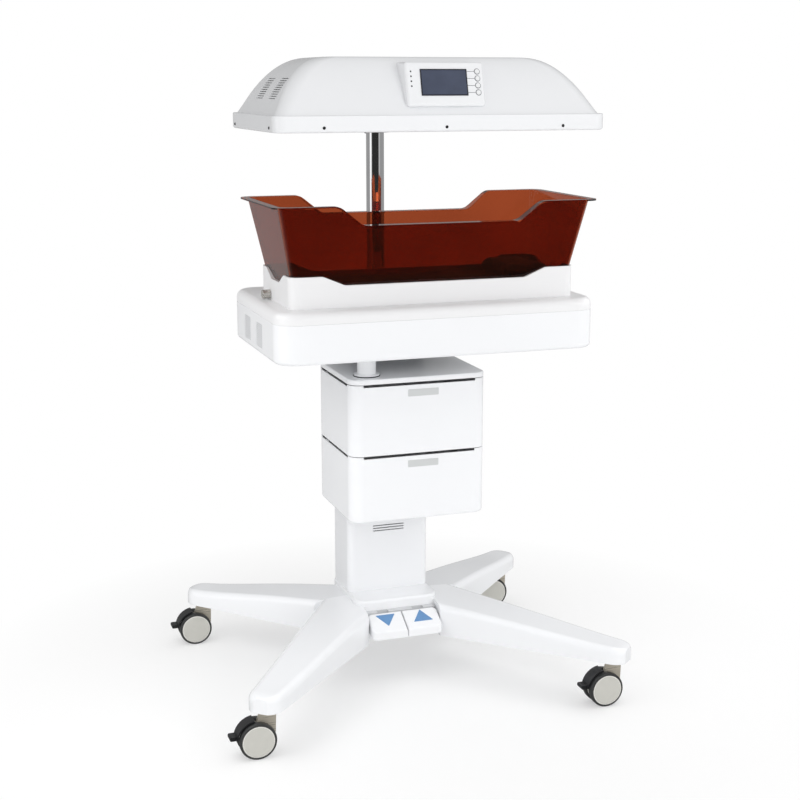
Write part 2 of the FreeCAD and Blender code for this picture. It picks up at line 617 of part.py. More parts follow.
def pedal_form(sign):
    """A sloping tread, rounded most at its outer corners, with a lug on the pin behind it."""
    centre = sign * (size.pedal_width + size.pedal_gap) / 2
    half = size.pedal_width / 2
    profile = [
        (size.pedal_back, size.pedal_back_top), (size.pedal_front, size.pedal_front_top),
        (size.pedal_front, size.pedal_lip), (size.pedal_back, size.pedal_back_bottom),
    ]
    tread = prism(profile, "x", centre - half, centre + half)
    rise = (size.pedal_back_top - size.pedal_front_top) / size.pedal_length

    def at_outer_corner(edge):
        return upright(edge) and abs(edge.BoundBox.XMin - centre - sign * half) < PICK_MARGIN

    def on_top(edge):
        lifts = [point.Z - rise * (point.Y - size.pedal_front) for point in edge.Vertexes]
        ahead = edge.BoundBox.YMin < size.pedal_back - PICK_MARGIN
        return ahead and all(abs(lift - size.pedal_front_top) < TOLERANCE for lift in lifts)

    tread = fillet_edges(tread, size.pedal_corner, at_outer_corner)
    tread = fillet_edges(tread, size.pedal_edge, on_top)
    pin = Vector(centre - size.pedal_lug_width / 2, size.pedal_pin_y, size.pedal_pin_z)
    lug = Part.makeCylinder(size.pedal_lug_radius, size.pedal_lug_width, pin, Vector(1, 0, 0))
    arm = Part.makeBox(size.pedal_lug_width, size.pedal_pin_y - size.pedal_back, 2 * size.pedal_lug_radius,
                       Vector(pin.x, size.pedal_back, pin.z - size.pedal_lug_radius))
    bore = Part.makeCylinder(size.pedal_pin_radius + size.shaft_clearance, size.pedal_lug_width, pin,
                             Vector(1, 0, 0))
    return tread.fuse([lug, arm]).cut(bore).removeSplitter()


# Lift column: fixed sleeve, guide pads, actuator, and the mast that rises out of it
COLUMN_X = about("column_width")
COLUMN_Y = ("column_front", "column_back")
SLEEVE_BORE_X = inset(COLUMN_X, "column_wall")
SLEEVE_BORE_Y = inset(COLUMN_Y, "column_wall")
MAST_X = inset(SLEEVE_BORE_X, "mast_gap")
MAST_Y = inset(SLEEVE_BORE_Y, "mast_gap")
COLUMN_MIDDLE = "(column_front + column_back) / 2"


def build_column():
    sleeve = block("sleeve", COLUMN_X, COLUMN_Y, ("hub_top", "column_top"), "column_corner")
    bore = block("sleeve_bore", SLEEVE_BORE_X, SLEEVE_BORE_Y, ("hub_top", "column_top"),
                 "column_corner - column_wall")
    slots = [
        box(f"column_slot_{place + 1}", about("slot_width"),
            ("column_front - column_wall", "column_front + 2 * column_wall"),
            about("slot_height", f"slot_z + {place} * slot_pitch"))
        for place in THREE_PLACES
    ]
    node("column_outer", cut("column_outer", sleeve, bore, *slots))
    pad_z = ("column_top - guide_drop - guide_height", "column_top - guide_drop")
    across = about("guide_width")
    deep = about("guide_width", COLUMN_MIDDLE)
    node("column_guides", group(
        "column_guides",
        box("guide_front", across, (SLEEVE_BORE_Y[0], f"{MAST_Y[0]} - guide_gap"), pad_z),
        box("guide_back", across, (f"{MAST_Y[1]} + guide_gap", SLEEVE_BORE_Y[1]), pad_z),
        box("guide_left", (SLEEVE_BORE_X[0], f"{MAST_X[0]} - guide_gap"), deep, pad_z),
        box("guide_right", (f"{MAST_X[1]} + guide_gap", SLEEVE_BORE_X[1]), deep, pad_z)))
    motor = box("motor", about("motor_width"), about("motor_depth", COLUMN_MIDDLE),
                ("hub_top", "hub_top + motor_height"))
    tube = rod("actuator_tube", "z", "actuator_radius", "0", COLUMN_MIDDLE, ("hub_top", "actuator_top"))
    tube_bore = rod("actuator_bore", "z", "rod_radius + rod_clearance", "0", COLUMN_MIDDLE,
                    ("hub_top + motor_height", "actuator_top"))
    node("lift_actuator", cut("lift_actuator", fuse("actuator_body", motor, tube), tube_bore))
    node("lift_rod", rod("lift_rod", "z", "rod_radius", "0", COLUMN_MIDDLE, ("rod_bottom", "mast_top")))
    mast = block("mast", MAST_X, MAST_Y, ("mast_bottom", "mast_top"),
                 "column_corner - column_wall - mast_gap")
    mast_bore = block("mast_bore", inset(MAST_X, "column_wall"), inset(MAST_Y, "column_wall"),
                      ("mast_bottom", "mast_top"), "column_wall")
    node("column_inner", cut("column_inner", mast, mast_bore))
    plate = block("carrier_plate", about("carrier_width"), ("carrier_front", "carrier_back"),
                  ("mast_top", "deck_bottom"), "carrier_corner")
    socket = rod("post_socket", "z", "socket_radius", "0", "post_y",
                 ("mast_top", "deck_bottom + socket_height"))
    socket_bore = rod("post_socket_bore", "z", "post_radius + shaft_clearance", "0", "post_y",
                      ("deck_bottom", "deck_bottom + socket_height"))
    node("deck_carrier", cut("deck_carrier", fuse("carrier_body", plate, socket), socket_bore))
    post_foot = Vector(0, size.post_y, size.deck_bottom)
    post_height = size.post_top - size.deck_bottom
    post = fillet_edges(Part.makeCylinder(size.post_radius, post_height, post_foot), size.post_round,
                        at_height(size.post_top))
    post_bore = Part.makeCylinder(size.post_radius - size.post_wall, post_height - size.post_round, post_foot)
    node("chrome_post", free("chrome_post", post.cut(post_bore)))


# Cabinet with two drawers whose skins are the cabinet's outside
CABINET_X = about("cabinet_width")
CABINET_Y = ("cabinet_front", "cabinet_rear")
BAY_X = about("column_width + 2 * cabinet_clearance")
DRAWERS = {
    "lower": ("cabinet_bottom", "cabinet_middle"),
    "upper": ("cabinet_middle + cabinet_gap", "cabinet_top - cabinet_board - cabinet_gap"),
}


def build_cabinet():
    board_z = ("cabinet_top - cabinet_board", "cabinet_top")
    board = block("cabinet_board", CABINET_X, CABINET_Y, board_z, "cabinet_corner", top="board_edge")
    board_bay = box("cabinet_board_bay", BAY_X, ("cabinet_back", "cabinet_rear + cabinet_board"),
                    ("cabinet_top - 2 * cabinet_board", "cabinet_top + cabinet_board"))
    node("cabinet_top", cut("cabinet_top", board, board_bay))
    plate = box("cabinet_back_plate", about("column_width"), ("cabinet_back - back_plate", "cabinet_back"),
                ("cabinet_bottom", "cabinet_top - cabinet_board"))
    hanger = box("cabinet_hanger", about("hanger_width"), ("cabinet_back", MAST_Y[0]),
                 ("hanger_bottom", "cabinet_top"))
    node("cabinet_frame", fuse("cabinet_frame", plate, hanger))
    runners = []
    for name, level in DRAWERS.items():
        node(f"drawer_{name}", build_drawer(name, level))
        runner_top = f"{level[0]} + drawer_skirt - runner_gap"
        for side, sign in (("left", -1), ("right", 1)):
            runners.append(box(
                f"runner_{name}_{side}", about("runner_width", f"{sign} * runner_offset"),
                ("runner_front", "cabinet_back - back_plate"),
                (f"{runner_top} - runner_height", runner_top)))
    node("drawer_runners", group("drawer_runners", *runners))
    conduit = rod("conduit", "z", "conduit_radius", "conduit_x", "conduit_y", ("cabinet_top", "deck_bottom"))
    flange = rod("conduit_flange", "z", "conduit_flange_radius", "conduit_x", "conduit_y",
                 ("cabinet_top", "cabinet_top + conduit_flange"))
    node("support_post", fuse("support_post", conduit, flange))


def build_drawer(name, level):
    """A tray with a raised floor, open above it for the contents and below it for the runners.

    Its side skins reach back past the column and turn in behind; its top edge dips for the fingers.
    """
    bottom = "drawer_round" if name == "lower" else ""
    skin = block(f"drawer_{name}_skin", CABINET_X, CABINET_Y, level, "cabinet_corner", bottom=bottom)
    full_z = (f"{level[0]} - drawer_floor", f"{level[1]} + drawer_floor")
    room_z = (f"{level[0]} + drawer_skirt + drawer_floor", f"{level[1]} + drawer_floor")
    tray_y = (CABINET_Y[0], "drawer_back")
    room = block(f"drawer_{name}_room", inset(CABINET_X, "drawer_wall"), inset(tray_y, "drawer_wall"),
                 room_z, "cabinet_corner - drawer_wall")
    hollow = block(f"drawer_{name}_hollow", inset(CABINET_X, "drawer_wall"), inset(CABINET_Y, "drawer_wall"),
                   full_z, "cabinet_corner - drawer_wall")
    tray = box(f"drawer_{name}_tray", CABINET_X, tray_y, full_z)
    behind = cut(f"drawer_{name}_behind", hollow, tray)
    bay = box(f"drawer_{name}_bay", BAY_X, ("drawer_back", "cabinet_rear + drawer_floor"), full_z)
    recess = box(f"drawer_{name}_recess", inset(CABINET_X, "cabinet_corner"),
                 (f"{CABINET_Y[0]} + cabinet_corner", "drawer_back + drawer_floor"),
                 (full_z[0], f"{level[0]} + drawer_skirt"))
    grip_z = (f"{level[1]} - grip_depth", full_z[1])
    front_grip = box(f"drawer_{name}_front_grip", inset(CABINET_X, "cabinet_corner"),
                     (f"{CABINET_Y[0]} - drawer_wall", f"{CABINET_Y[0]} + 2 * drawer_wall"), grip_z)
    side_grip = box(f"drawer_{name}_side_grip", inset(CABINET_X, "-drawer_wall"),
                    inset(CABINET_Y, "cabinet_corner"), grip_z)
    return cut(f"drawer_{name}", skin, room, behind, bay, recess, front_grip, side_grip)


# Lower light deck under the tub
DECK_X = about("deck_length")
DECK_Y = ("deck_front", "deck_back")


def build_deck():
    shell = block("deck_tray", DECK_X, DECK_Y, ("deck_bottom", "deck_parting"), "deck_corner",
                  bottom="deck_bottom_round")
    room = block("deck_tray_room", inset(DECK_X, "deck_wall"), inset(DECK_Y, "deck_wall"),
                 ("deck_bottom + deck_wall", "deck_parting + deck_wall"), "deck_corner - deck_wall",
                 bottom="deck_bottom_round - deck_wall")
    inlet_hole = box("inlet_hole", about("inlet_socket_width + 2 * inlet_flange", "inlet_x"),
                     ("deck_back - inlet_depth", "deck_back + inlet_flange"),
                     about("inlet_socket_height + 2 * inlet_flange", "inlet_z"))
    node("deck_lower_shell", cut("deck_lower_shell", shell, room, inlet_hole, *deck_vents()))
    lid = block("deck_lid", DECK_X, DECK_Y, ("deck_parting", "deck_top"), "deck_corner", top="deck_top_round",
                bottom="deck_seam")
    lid_room = block("deck_lid_room", inset(DECK_X, "deck_wall"), inset(DECK_Y, "deck_wall"),
                     ("deck_parting - deck_wall", "deck_top - deck_wall"), "deck_corner - deck_wall",
                     top="deck_top_round - deck_wall")
    opening = box("deck_opening", about("deck_opening_length"), about("deck_opening_width", "tub_y"),
                  ("deck_parting", "deck_top + deck_wall"))
    node("deck_upper_shell", cut("deck_upper_shell", lid, lid_room, opening))
    node("deck_window", box("deck_window", about("deck_opening_length + 2 * window_lap"),
                            about("deck_opening_width + 2 * window_lap", "tub_y"),
                            ("deck_top - deck_wall - window_thickness", "deck_top - deck_wall")))
    node("deck_lamps", lamp_row("deck", "deck_holder_x", "tub_y", "deck_bottom + deck_wall"))
    fan_x = ("-deck_length / 2 + deck_wall", "-deck_length / 2 + deck_wall + fan_depth")
    frame = box("fan_frame", fan_x, about("fan_size", "deck_vent_y"),
                ("deck_bottom + deck_bottom_round", "deck_bottom + deck_bottom_round + fan_size"))
    fan_z = "deck_bottom + deck_bottom_round + fan_size / 2"
    tunnel = rod("fan_tunnel", "x", "fan_bore_radius", fan_x, "deck_vent_y", fan_z)
    hub = rod("fan_hub", "x", "fan_hub_radius", fan_x, "deck_vent_y", fan_z)
    strut = box("fan_strut", fan_x, about("fan_size - fan_strut", "deck_vent_y"), about("fan_strut", fan_z))
    node("deck_fan", fuse("deck_fan", cut("fan_ring", frame, tunnel), hub, strut))
    flange = box("inlet_flange_plate", about("inlet_width", "inlet_x"),
                 ("deck_back", "deck_back + inlet_flange"), about("inlet_height", "inlet_z"))
    body = box("inlet_body", about("inlet_socket_width + inlet_flange", "inlet_x"),
               ("deck_back - inlet_depth", "deck_back"),
               about("inlet_socket_height + inlet_flange", "inlet_z"))
    socket = box("inlet_socket", about("inlet_socket_width - 2 * inlet_flange", "inlet_x"),
                 ("deck_back - inlet_socket_depth", "deck_back + 2 * inlet_flange"),
                 about("inlet_socket_height - inlet_flange", "inlet_z"))
    node("power_inlet", cut("power_inlet", fuse("inlet_solid", flange, body), socket))


def deck_vents():
    """Two groups of level slits side by side through the deck's left end."""
    wall_x = ("-deck_length / 2 - deck_wall", "-deck_length / 2 + 2 * deck_wall")
    slits = []
    for side, sign in (("front", -1), ("back", 1)):
        for number in range(int(size.vent_count)):
            bottom = f"deck_vent_z + {number} * vent_pitch"
            slits.append(box(
                f"deck_vent_{side}_{number}", wall_x,
                about("vent_length", f"deck_vent_y + {sign} * vent_spread / 2"),
                (bottom, f"{bottom} + vent_slit")))
    return slits


def lamp_row(name, holder_x, y, floor):
    """Lamp tubes side by side between two holders that stand on a shell's floor."""
    count = int(size.lamp_count)
    depth = f"{count - 1} * lamp_pitch + 2 * holder_overhang"
    pieces = [
        box(f"{name}_holder_{side}", about("lamp_holder", f"{sign} * {holder_x}"), about(depth, y),
            (floor, f"{floor} + holder_height"))
        for side, sign in (("left", -1), ("right", 1))
    ]
    for number in range(count):
        pieces.append(rod(
            f"{name}_lamp_{number}", "x", "lamp_radius",
            (f"-{holder_x} + lamp_holder / 2", f"{holder_x} - lamp_holder / 2"),
            f"{y} + ({number} - {(count - 1) / 2}) * lamp_pitch", f"{floor} + holder_height / 2"))
    return group(f"{name}_lamps", *pieces)


# Tub, and the cradle that holds it on the deck
def tub_form(bottom, top, grow):
    """The tub's sloping outside between two heights, grown evenly outwards."""
    wires = []
    for z in (bottom, top):
        step = 2 * ((z - size.tub_rim) * size.tub_slope - size.tub_flange + grow)
        corner = size.tub_corner - size.tub_flange / 2 + (z - size.tub_rim) * size.tub_corner_taper + grow
        wires.append(rounded_wire(size.tub_length + step, size.tub_width + step, corner, z, 0, size.tub_y))
    return Part.makeLoft(wires, True, True)


def build_tub():
    reach = size.tub_rim + size.tub_dip
    above = rim_cutter(size.tub_length, 0, size.tub_rim, size.tub_dip, size.tub_high_run, size.tub_slope_run,
                       size.tub_dip_round, "y", size.tub_width, size.tub_y)
    outside = fillet_edges(tub_form(size.tub_floor, reach, 0), size.tub_foot_round, at_height(size.tub_floor))
    floor_top = size.tub_floor + size.tub_wall
    room = fillet_edges(tub_form(floor_top, reach, -size.tub_wall), size.tub_foot_round - size.tub_wall,
                        at_height(floor_top))
    lowered = above.copy()
    lowered.translate(Vector(0, 0, -size.tub_wall))
    plan = Part.Face(rounded_wire(size.tub_length, size.tub_width, size.tub_corner, size.tub_floor,
                                  0, size.tub_y))
    flange = plan.extrude(Vector(0, 0, reach - size.tub_floor)).common(lowered).cut(above)
    shape = outside.cut(above).fuse(flange).cut(room).removeSplitter()
    node("tub", free("tub", shape))
    mattress_floor = floor_top + size.mattress_lift
    inner = 2 * ((mattress_floor - size.tub_rim) * size.tub_slope - size.tub_flange - size.tub_wall
                 - size.mattress_gap)
    length, width = size.tub_length + inner, size.tub_width + inner
    node("mattress", free("mattress", cushion_form(
        length, width, size.mattress_corner, size.mattress_draw, mattress_floor,
        size.mattress_height, size.mattress_crown, 0)))
    pillow_floor = mattress_floor + size.mattress_height + size.mattress_lift
    node("pillow", free("pillow", cushion_form(
        size.pillow_length, size.pillow_width, size.pillow_corner, size.pillow_draw, pillow_floor,
        size.pillow_height, size.pillow_crown, length / 2 - size.pillow_inset - size.pillow_length / 2)))


def cushion_form(length, width, corner, draw, floor, height, reach, x):
    """A crowned pad: fullest below half its height, drawn in below, rounding over to its top."""
    full = CUSHION_FULL * height
    foot = math.sin(math.radians(CUSHION_ANGLES[0]))
    crown = math.sin(math.radians(CUSHION_ANGLES[-1]))
    wires = []
    for angle in CUSHION_ANGLES:
        turn = math.radians(angle)
        if angle < 0:
            rise = full * (1 - math.sin(turn) / foot)
            shrink = full / 2 * (1 - math.cos(turn))
        else:
            rise = full + (height - full) * math.sin(turn) / crown
            shrink = reach * (1 - math.cos(turn))
        radius = max(corner - shrink / 2, corner / 3)
        wires.append(rounded_wire(length - 2 * shrink, width - 2 * shrink, radius, floor + rise,
                                  x, size.tub_y, draw))
    return Part.makeLoft(wires, True, False)


def build_cradle():
    seat = size.tub_floor - size.tub_seat
    ledge_top = size.tub_floor + size.cradle_wall + size.tub_foot_round
    length, width = 2 * size.cradle_end, size.tub_width + 2 * size.cradle_grow
    plan = Part.Face(rounded_wire(length, width, size.cradle_corner, size.deck_top, 0, size.tub_y))
    shell = plan.extrude(Vector(0, 0, size.cradle_top - size.deck_top))
    room = fillet_edges(tub_form(seat, size.cradle_top + size.cradle_dip, size.cradle_clearance),
                        size.tub_foot_round - size.cradle_clearance, at_height(seat))
    step = 2 * ((ledge_top - size.tub_rim) * size.tub_slope - size.tub_flange - size.cradle_ledge)
    hole_plan = Part.Face(rounded_wire(size.tub_length + step, size.tub_width + step, size.cradle_ledge,
                                       size.deck_top, 0, size.tub_y))
    hole = hole_plan.extrude(Vector(0, 0, size.cradle_top - size.deck_top))
    long_rim = rim_cutter(length, 0, size.cradle_top, size.cradle_dip, size.cradle_high_run,
                          size.cradle_slope_run, size.cradle_round, "y", width, size.tub_y)
    end_rim = rim_cutter(width, size.tub_y, size.cradle_top, size.cradle_dip, size.cradle_end_high_run,
                         size.cradle_end_slope_run, size.cradle_round, "x", length, 0)
    shape = shell.cut([room, hole, long_rim, end_rim])
    lugs, pin_holes = [], []
    for sign in (-1, 1):
        y = size.tub_y + sign * size.pivot_offset - size.lug_width / 2
        pin = Vector(size.pivot_x, y, size.pivot_z)
        arm_start = size.cradle_end - size.cradle_wall / 2
        lugs.append(Part.makeCylinder(size.lug_radius, size.lug_width, pin, Vector(0, 1, 0)))
        lugs.append(Part.makeBox(size.pivot_x - arm_start, size.lug_width, 2 * size.lug_radius,
                                 Vector(arm_start, y, size.pivot_z - size.lug_radius)))
        pin_holes.append(Part.makeCylinder(size.pivot_radius + size.shaft_clearance, size.lug_width, pin,
                                           Vector(0, 1, 0)))
    stem_end = size.cradle_end - size.knob_stem_depth
    stem_hole = Part.makeCylinder(size.knob_stem_radius + size.shaft_clearance, size.pivot_x,
                                  Vector(-stem_end, size.knob_y, size.knob_z), Vector(-1, 0, 0))
    node("cradle", free("cradle", shape.fuse(lugs).cut(pin_holes + [stem_hole]).removeSplitter()))
    node("cradle_pivots", free("cradle_pivots", pivot_brackets()))
    face = size.cradle_end + size.knob_gap
    grip = Part.makeCylinder(size.knob_radius, size.knob_length, Vector(-face, size.knob_y, size.knob_z),
                             Vector(-1, 0, 0))
    grip = fillet_edges(grip, size.knob_edge, lambda edge: edge.BoundBox.XMax < -face - PICK_MARGIN)
    stem = Part.makeCylinder(size.knob_stem_radius, face - stem_end,
                             Vector(-stem_end, size.knob_y, size.knob_z), Vector(-1, 0, 0))
    node("lock_knob", free("lock_knob", grip.fuse(stem).removeSplitter()))


def pivot_brackets():
    """Two forked brackets on the deck, each with its pin between two ears."""
    solids = []
    half = size.lug_width / 2 + size.ear_gap
    for sign in (-1, 1):
        y = size.tub_y + sign * size.pivot_offset
        pieces = []
        for low in (y - half - size.ear_width, y + half):
            pieces.append(Part.makeBox(2 * size.lug_radius, size.ear_width, size.pivot_z - size.deck_top,
                                       Vector(size.pivot_x - size.lug_radius, low, size.deck_top)))
            pieces.append(Part.makeCylinder(size.lug_radius, size.ear_width,
                                            Vector(size.pivot_x, low, size.pivot_z), Vector(0, 1, 0)))
        reach = half + size.ear_width
        pin = Part.makeCylinder(size.pivot_radius, 2 * reach, Vector(size.pivot_x, y - reach, size.pivot_z),
                                Vector(0, 1, 0))
        solids.append(pin.fuse(pieces).removeSplitter())
    return Part.makeCompound(solids)


# Upper light hood on its sleeve, collar and post
HOOD_X = about("hood_length")
HOOD_Y = about("hood_width", "hood_y")


def dome_inset(rise, height, lean, shoulder):
    """How far a face of the dome has come in at a rise: a steady lean, then a shoulder to a level top."""
    power = size.dome_roundness
    return lean * rise + shoulder * (1 - (1 - (rise / height) ** power) ** (1 / power))


def dome_form(shrink, height):
    rim_top = size.hood_bottom + size.hood_rim
    step = size.dome_setback + shrink
    wires = []
    for angle in DOME_ANGLES:
        rise = height * math.sin(math.radians(angle)) ** (2 / size.dome_roundness)
        end = step + dome_inset(rise, height, size.dome_end_lean, size.dome_end_shoulder)
        side = step + dome_inset(rise, height, size.dome_side_lean, size.dome_side_shoulder)
        corner = size.dome_corner - shrink + size.dome_corner_grow * rise / height
        wires.append(rounded_wire(size.hood_length - 2 * end, size.hood_width - 2 * side, corner,
                                  rim_top + rise, 0, size.hood_y))
    return Part.makeLoft(wires, True, False)


def build_hood():
    rim_top = "hood_bottom + hood_rim"
    dome = free("dome_outside", dome_form(0, size.hood_rise))
    dome_room = free("dome_room", dome_form(size.dome_wall, size.hood_rise - size.hood_wall))
    slits = []
    for number in range(int(size.hood_vent_count)):
        rise = size.hood_vent_rise + number * size.hood_vent_pitch
        inset_x = dome_inset(rise, size.hood_rise, size.dome_end_lean, size.dome_end_shoulder)
        face_x = size.dome_setback + inset_x - size.hood_length / 2
        for sign in (-1, 1):
            middle = size.hood_vent_y + sign * size.vent_spread / 2
            slits.append(Part.makeBox(
                size.hood_vent_depth, size.vent_length, size.vent_slit,
                Vector(face_x - size.hood_vent_depth / 2, middle - size.vent_length / 2,
                       size.hood_bottom + size.hood_rim + rise)))
    node("hood_shell", cut("hood_shell", dome, dome_room, free("hood_slits", Part.makeCompound(slits))))
    pan = block("hood_tray", HOOD_X, HOOD_Y, ("hood_bottom", rim_top), "hood_corner", top="hood_ledge_edge",
                bottom="hood_edge")
    pan_room = block("hood_tray_room", inset(HOOD_X, "hood_wall"), inset(HOOD_Y, "hood_wall"),
                     ("hood_bottom + hood_wall", f"{rim_top} - hood_wall"), "hood_corner - hood_wall")
    mouth = "dome_setback + dome_wall"
    pan_mouth = block("hood_tray_mouth", inset(HOOD_X, mouth), inset(HOOD_Y, mouth),
                      (f"{rim_top} - 2 * hood_wall", f"{rim_top} + hood_wall"), "dome_corner - dome_wall")
    opening = box("hood_opening", about("hood_opening_length"), about("hood_opening_width", "hood_y"),
                  ("hood_bottom - hood_wall", "hood_bottom + 2 * hood_wall"))
    node("hood_pan", cut("hood_pan", pan, pan_room, pan_mouth, opening))
    node("hood_window", box("hood_window", about("hood_opening_length + 2 * window_lap"),
                            about("hood_opening_width + 2 * window_lap", "hood_y"),
                            ("hood_bottom + hood_wall", "hood_bottom + hood_wall + window_thickness")))
    node("hood_lamps", lamp_row("hood", "hood_holder_x", "hood_y", "hood_bottom + hood_wall"))
    node("hood_screws", group("hood_screws", *rim_screws()))
    arm_z = ("hood_bottom + arm_lift", "hood_bottom + arm_lift + arm_height")
    arm = box("hood_arm", about("arm_width"), (HOOD_Y[1], "post_y"), arm_z)
    sleeve = rod("hood_sleeve", "z", "sleeve_radius", "0", "post_y",
                 ("hood_bottom + sleeve_lift", "hood_bottom + sleeve_lift + sleeve_height"))
    bore = rod("hood_sleeve_bore", "z", "post_radius + shaft_clearance", "0", "post_y",
               ("hood_bottom + sleeve_lift", "hood_bottom + sleeve_lift + sleeve_height"))
    node("hood_bracket", cut("hood_bracket", fuse("bracket_body", arm, sleeve), bore))
    collar_top = "hood_bottom + sleeve_lift - sleeve_seat"
    collar_z = (f"{collar_top} - collar_height", collar_top)
    ring = rod("collar_ring", "z", "collar_radius", "0", "post_y", collar_z)
    ring_bore = rod("collar_bore", "z", "post_radius + shaft_clearance", "0", "post_y", collar_z)
    knob_z = f"{collar_top} - collar_height / 2"
    tap = rod("collar_tap", "y", "collar_screw_radius + shaft_clearance", "0",
              ("post_y + post_radius", "post_y + collar_radius"), knob_z)
    node("post_collar", cut("post_collar", ring, ring_bore, tap))
    grip_start = "post_y + collar_radius + collar_knob_gap"
    grip_y = (grip_start, f"{grip_start} + collar_knob_length")
    screw = rod("collar_screw", "y", "collar_screw_radius", "0",
                ("post_y + collar_radius - collar_screw_depth", grip_start), knob_z)
    grip = rod("collar_grip", "y", "collar_knob_radius - knob_edge", "0", grip_y, knob_z)
    lobes = []
    for number in range(LOBE_COUNT):
        turn = 2 * math.pi * number / LOBE_COUNT
        lobes.append(rod(
            f"collar_lobe_{number}", "y", "lobe_radius",
            f"(collar_knob_radius - lobe_radius) * {math.cos(turn):.6f}", grip_y,
            f"{knob_z} + (collar_knob_radius - lobe_radius) * {math.sin(turn):.6f}"))
    node("collar_knob", fuse("collar_knob", screw, grip, *lobes))
    build_pod(dome)


def rim_screws():
    """Screw heads along the hood's front rim and on both its ends."""
    level = "hood_bottom + hood_rim - screw_drop"
    heads = [
        rod(f"screw_front_{place + 1}", "y", "screw_radius", f"{place} * screw_pitch_x",
            (f"{HOOD_Y[0]} - screw_head", HOOD_Y[0]), level)
        for place in THREE_PLACES
    ]
    ends = {
        "left": (f"{HOOD_X[0]} - screw_head", HOOD_X[0]),
        "right": (HOOD_X[1], f"{HOOD_X[1]} + screw_head"),
    }
    for side, outer in ends.items():
        for number in (-1, 1):
            heads.append(rod(f"screw_{side}_{number + 1}", "x", "screw_radius", outer,
                             f"hood_y + {number} * screw_pitch_y / 2", level))
    return heads


# Control pod: tilted housing with a screen and four keys
def pod_place(x, v, out):
    """A placement on the pod's plate: v runs up the plate and out points away from it."""
    tilt = math.radians(size.pod_tilt)
    up = Vector(0, math.sin(tilt), math.cos(tilt))
    outward = Vector(0, -math.cos(tilt), math.sin(tilt))
    foot = Vector(size.pod_x, size.pod_y, size.pod_z)
    return Placement(foot + Vector(x, 0, 0) + up * v + outward * out,
                     Rotation(Vector(1, 0, 0), 90 - size.pod_tilt))


def build_pod(dome):
    foot = pod_place(0, 0, 0).Base
    head = pod_place(0, size.pod_height, 0).Base
    half = size.pod_width / 2
    profile = [(foot.y, foot.z), (head.y, head.z), (head.y + size.pod_reach, head.z),
               (foot.y + size.pod_reach, foot.z)]
    body = prism(profile, "x", size.pod_x - half, size.pod_x + half)
    body = fillet_edges(body, size.pod_edge, lambda edge: edge.BoundBox.YMin < head.y + PICK_MARGIN)
    seat = Part.makeBox(size.screen_width + 2 * size.screen_gap, size.screen_height + 2 * size.screen_gap,
                        size.screen_sink + size.screen_proud)
    seat.Placement = pod_place(size.screen_x - size.screen_width / 2 - size.screen_gap,
                               size.screen_v - size.screen_height / 2 - size.screen_gap, -size.screen_sink)
    wells = []
    for number in range(KEY_COUNT):
        well = Part.makeCylinder(size.key_radius + size.key_gap, size.key_height + size.key_travel)
        well.Placement = pod_place(size.key_x, size.key_v + number * size.key_pitch,
                                   size.key_proud - size.key_height - size.key_travel)
        wells.append(well)
        key = fillet_edges(Part.makeCylinder(size.key_radius, size.key_height), size.key_edge,
                           at_height(size.key_height))
        node(f"panel_key_{number + 1}", free(f"panel_key_{number + 1}", key, pod_place(
            size.key_x, size.key_v + number * size.key_pitch, size.key_proud - size.key_height)))
    housing = free("pod_form", body.cut([seat] + wells))
    node("panel_housing", cut("panel_housing", housing, dome))
    screen = Part.makeBox(size.screen_width, size.screen_height, size.screen_sink + size.screen_proud)
    screen = fillet_edges(screen, size.screen_proud / 2, at_height(size.screen_sink + size.screen_proud))
    node("panel_screen", free("panel_screen", screen, pod_place(
        size.screen_x - size.screen_width / 2, size.screen_v - size.screen_height / 2, -size.screen_sink)))


# Check and export
def export_nodes():
    doc.recompute()
    for item in doc.Objects:
        if {"Invalid", "Error"} & set(item.State):
            raise RuntimeError(f"{item.Name} failed: {item.State}")
    os.makedirs("parts", exist_ok=True)
    for name, item in nodes.items():
        shape = item.Shape
        if shape.isNull() or not shape.isValid() or not shape.Solids:
            raise RuntimeError(f"{name} has no valid solid")
    for name, item in nodes.items():
        item.Shape.exportStep(f"parts/{name}.step")
    print(len(nodes), "parts written")


build_base()
build_casters()
build_pedals()
build_column()
build_cabinet()
build_deck()
build_tub()
build_cradle()
build_hood()
export_nodes()
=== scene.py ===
"""Looks of the infant phototherapy bed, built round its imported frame. Metres, +Z up, front at -Y."""

import json
import math

import bmesh
import bpy
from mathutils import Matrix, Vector
from mathutils.bvhtree import BVHTree


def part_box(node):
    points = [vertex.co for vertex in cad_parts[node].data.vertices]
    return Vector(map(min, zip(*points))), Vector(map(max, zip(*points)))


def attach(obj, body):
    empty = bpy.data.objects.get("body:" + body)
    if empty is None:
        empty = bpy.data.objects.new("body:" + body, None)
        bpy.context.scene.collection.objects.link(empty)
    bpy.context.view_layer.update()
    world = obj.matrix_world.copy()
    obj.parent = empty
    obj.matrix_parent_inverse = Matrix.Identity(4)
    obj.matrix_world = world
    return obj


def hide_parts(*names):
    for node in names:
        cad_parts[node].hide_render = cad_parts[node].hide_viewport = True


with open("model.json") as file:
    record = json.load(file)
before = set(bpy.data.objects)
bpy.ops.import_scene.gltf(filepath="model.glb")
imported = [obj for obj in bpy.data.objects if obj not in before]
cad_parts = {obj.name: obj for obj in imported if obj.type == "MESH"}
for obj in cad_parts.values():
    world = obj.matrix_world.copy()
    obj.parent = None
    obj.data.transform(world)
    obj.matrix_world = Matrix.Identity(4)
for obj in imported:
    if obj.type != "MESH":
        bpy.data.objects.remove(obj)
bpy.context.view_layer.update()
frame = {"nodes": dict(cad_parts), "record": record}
nodes = frame["nodes"]
scene = bpy.context.scene
MM = 0.001


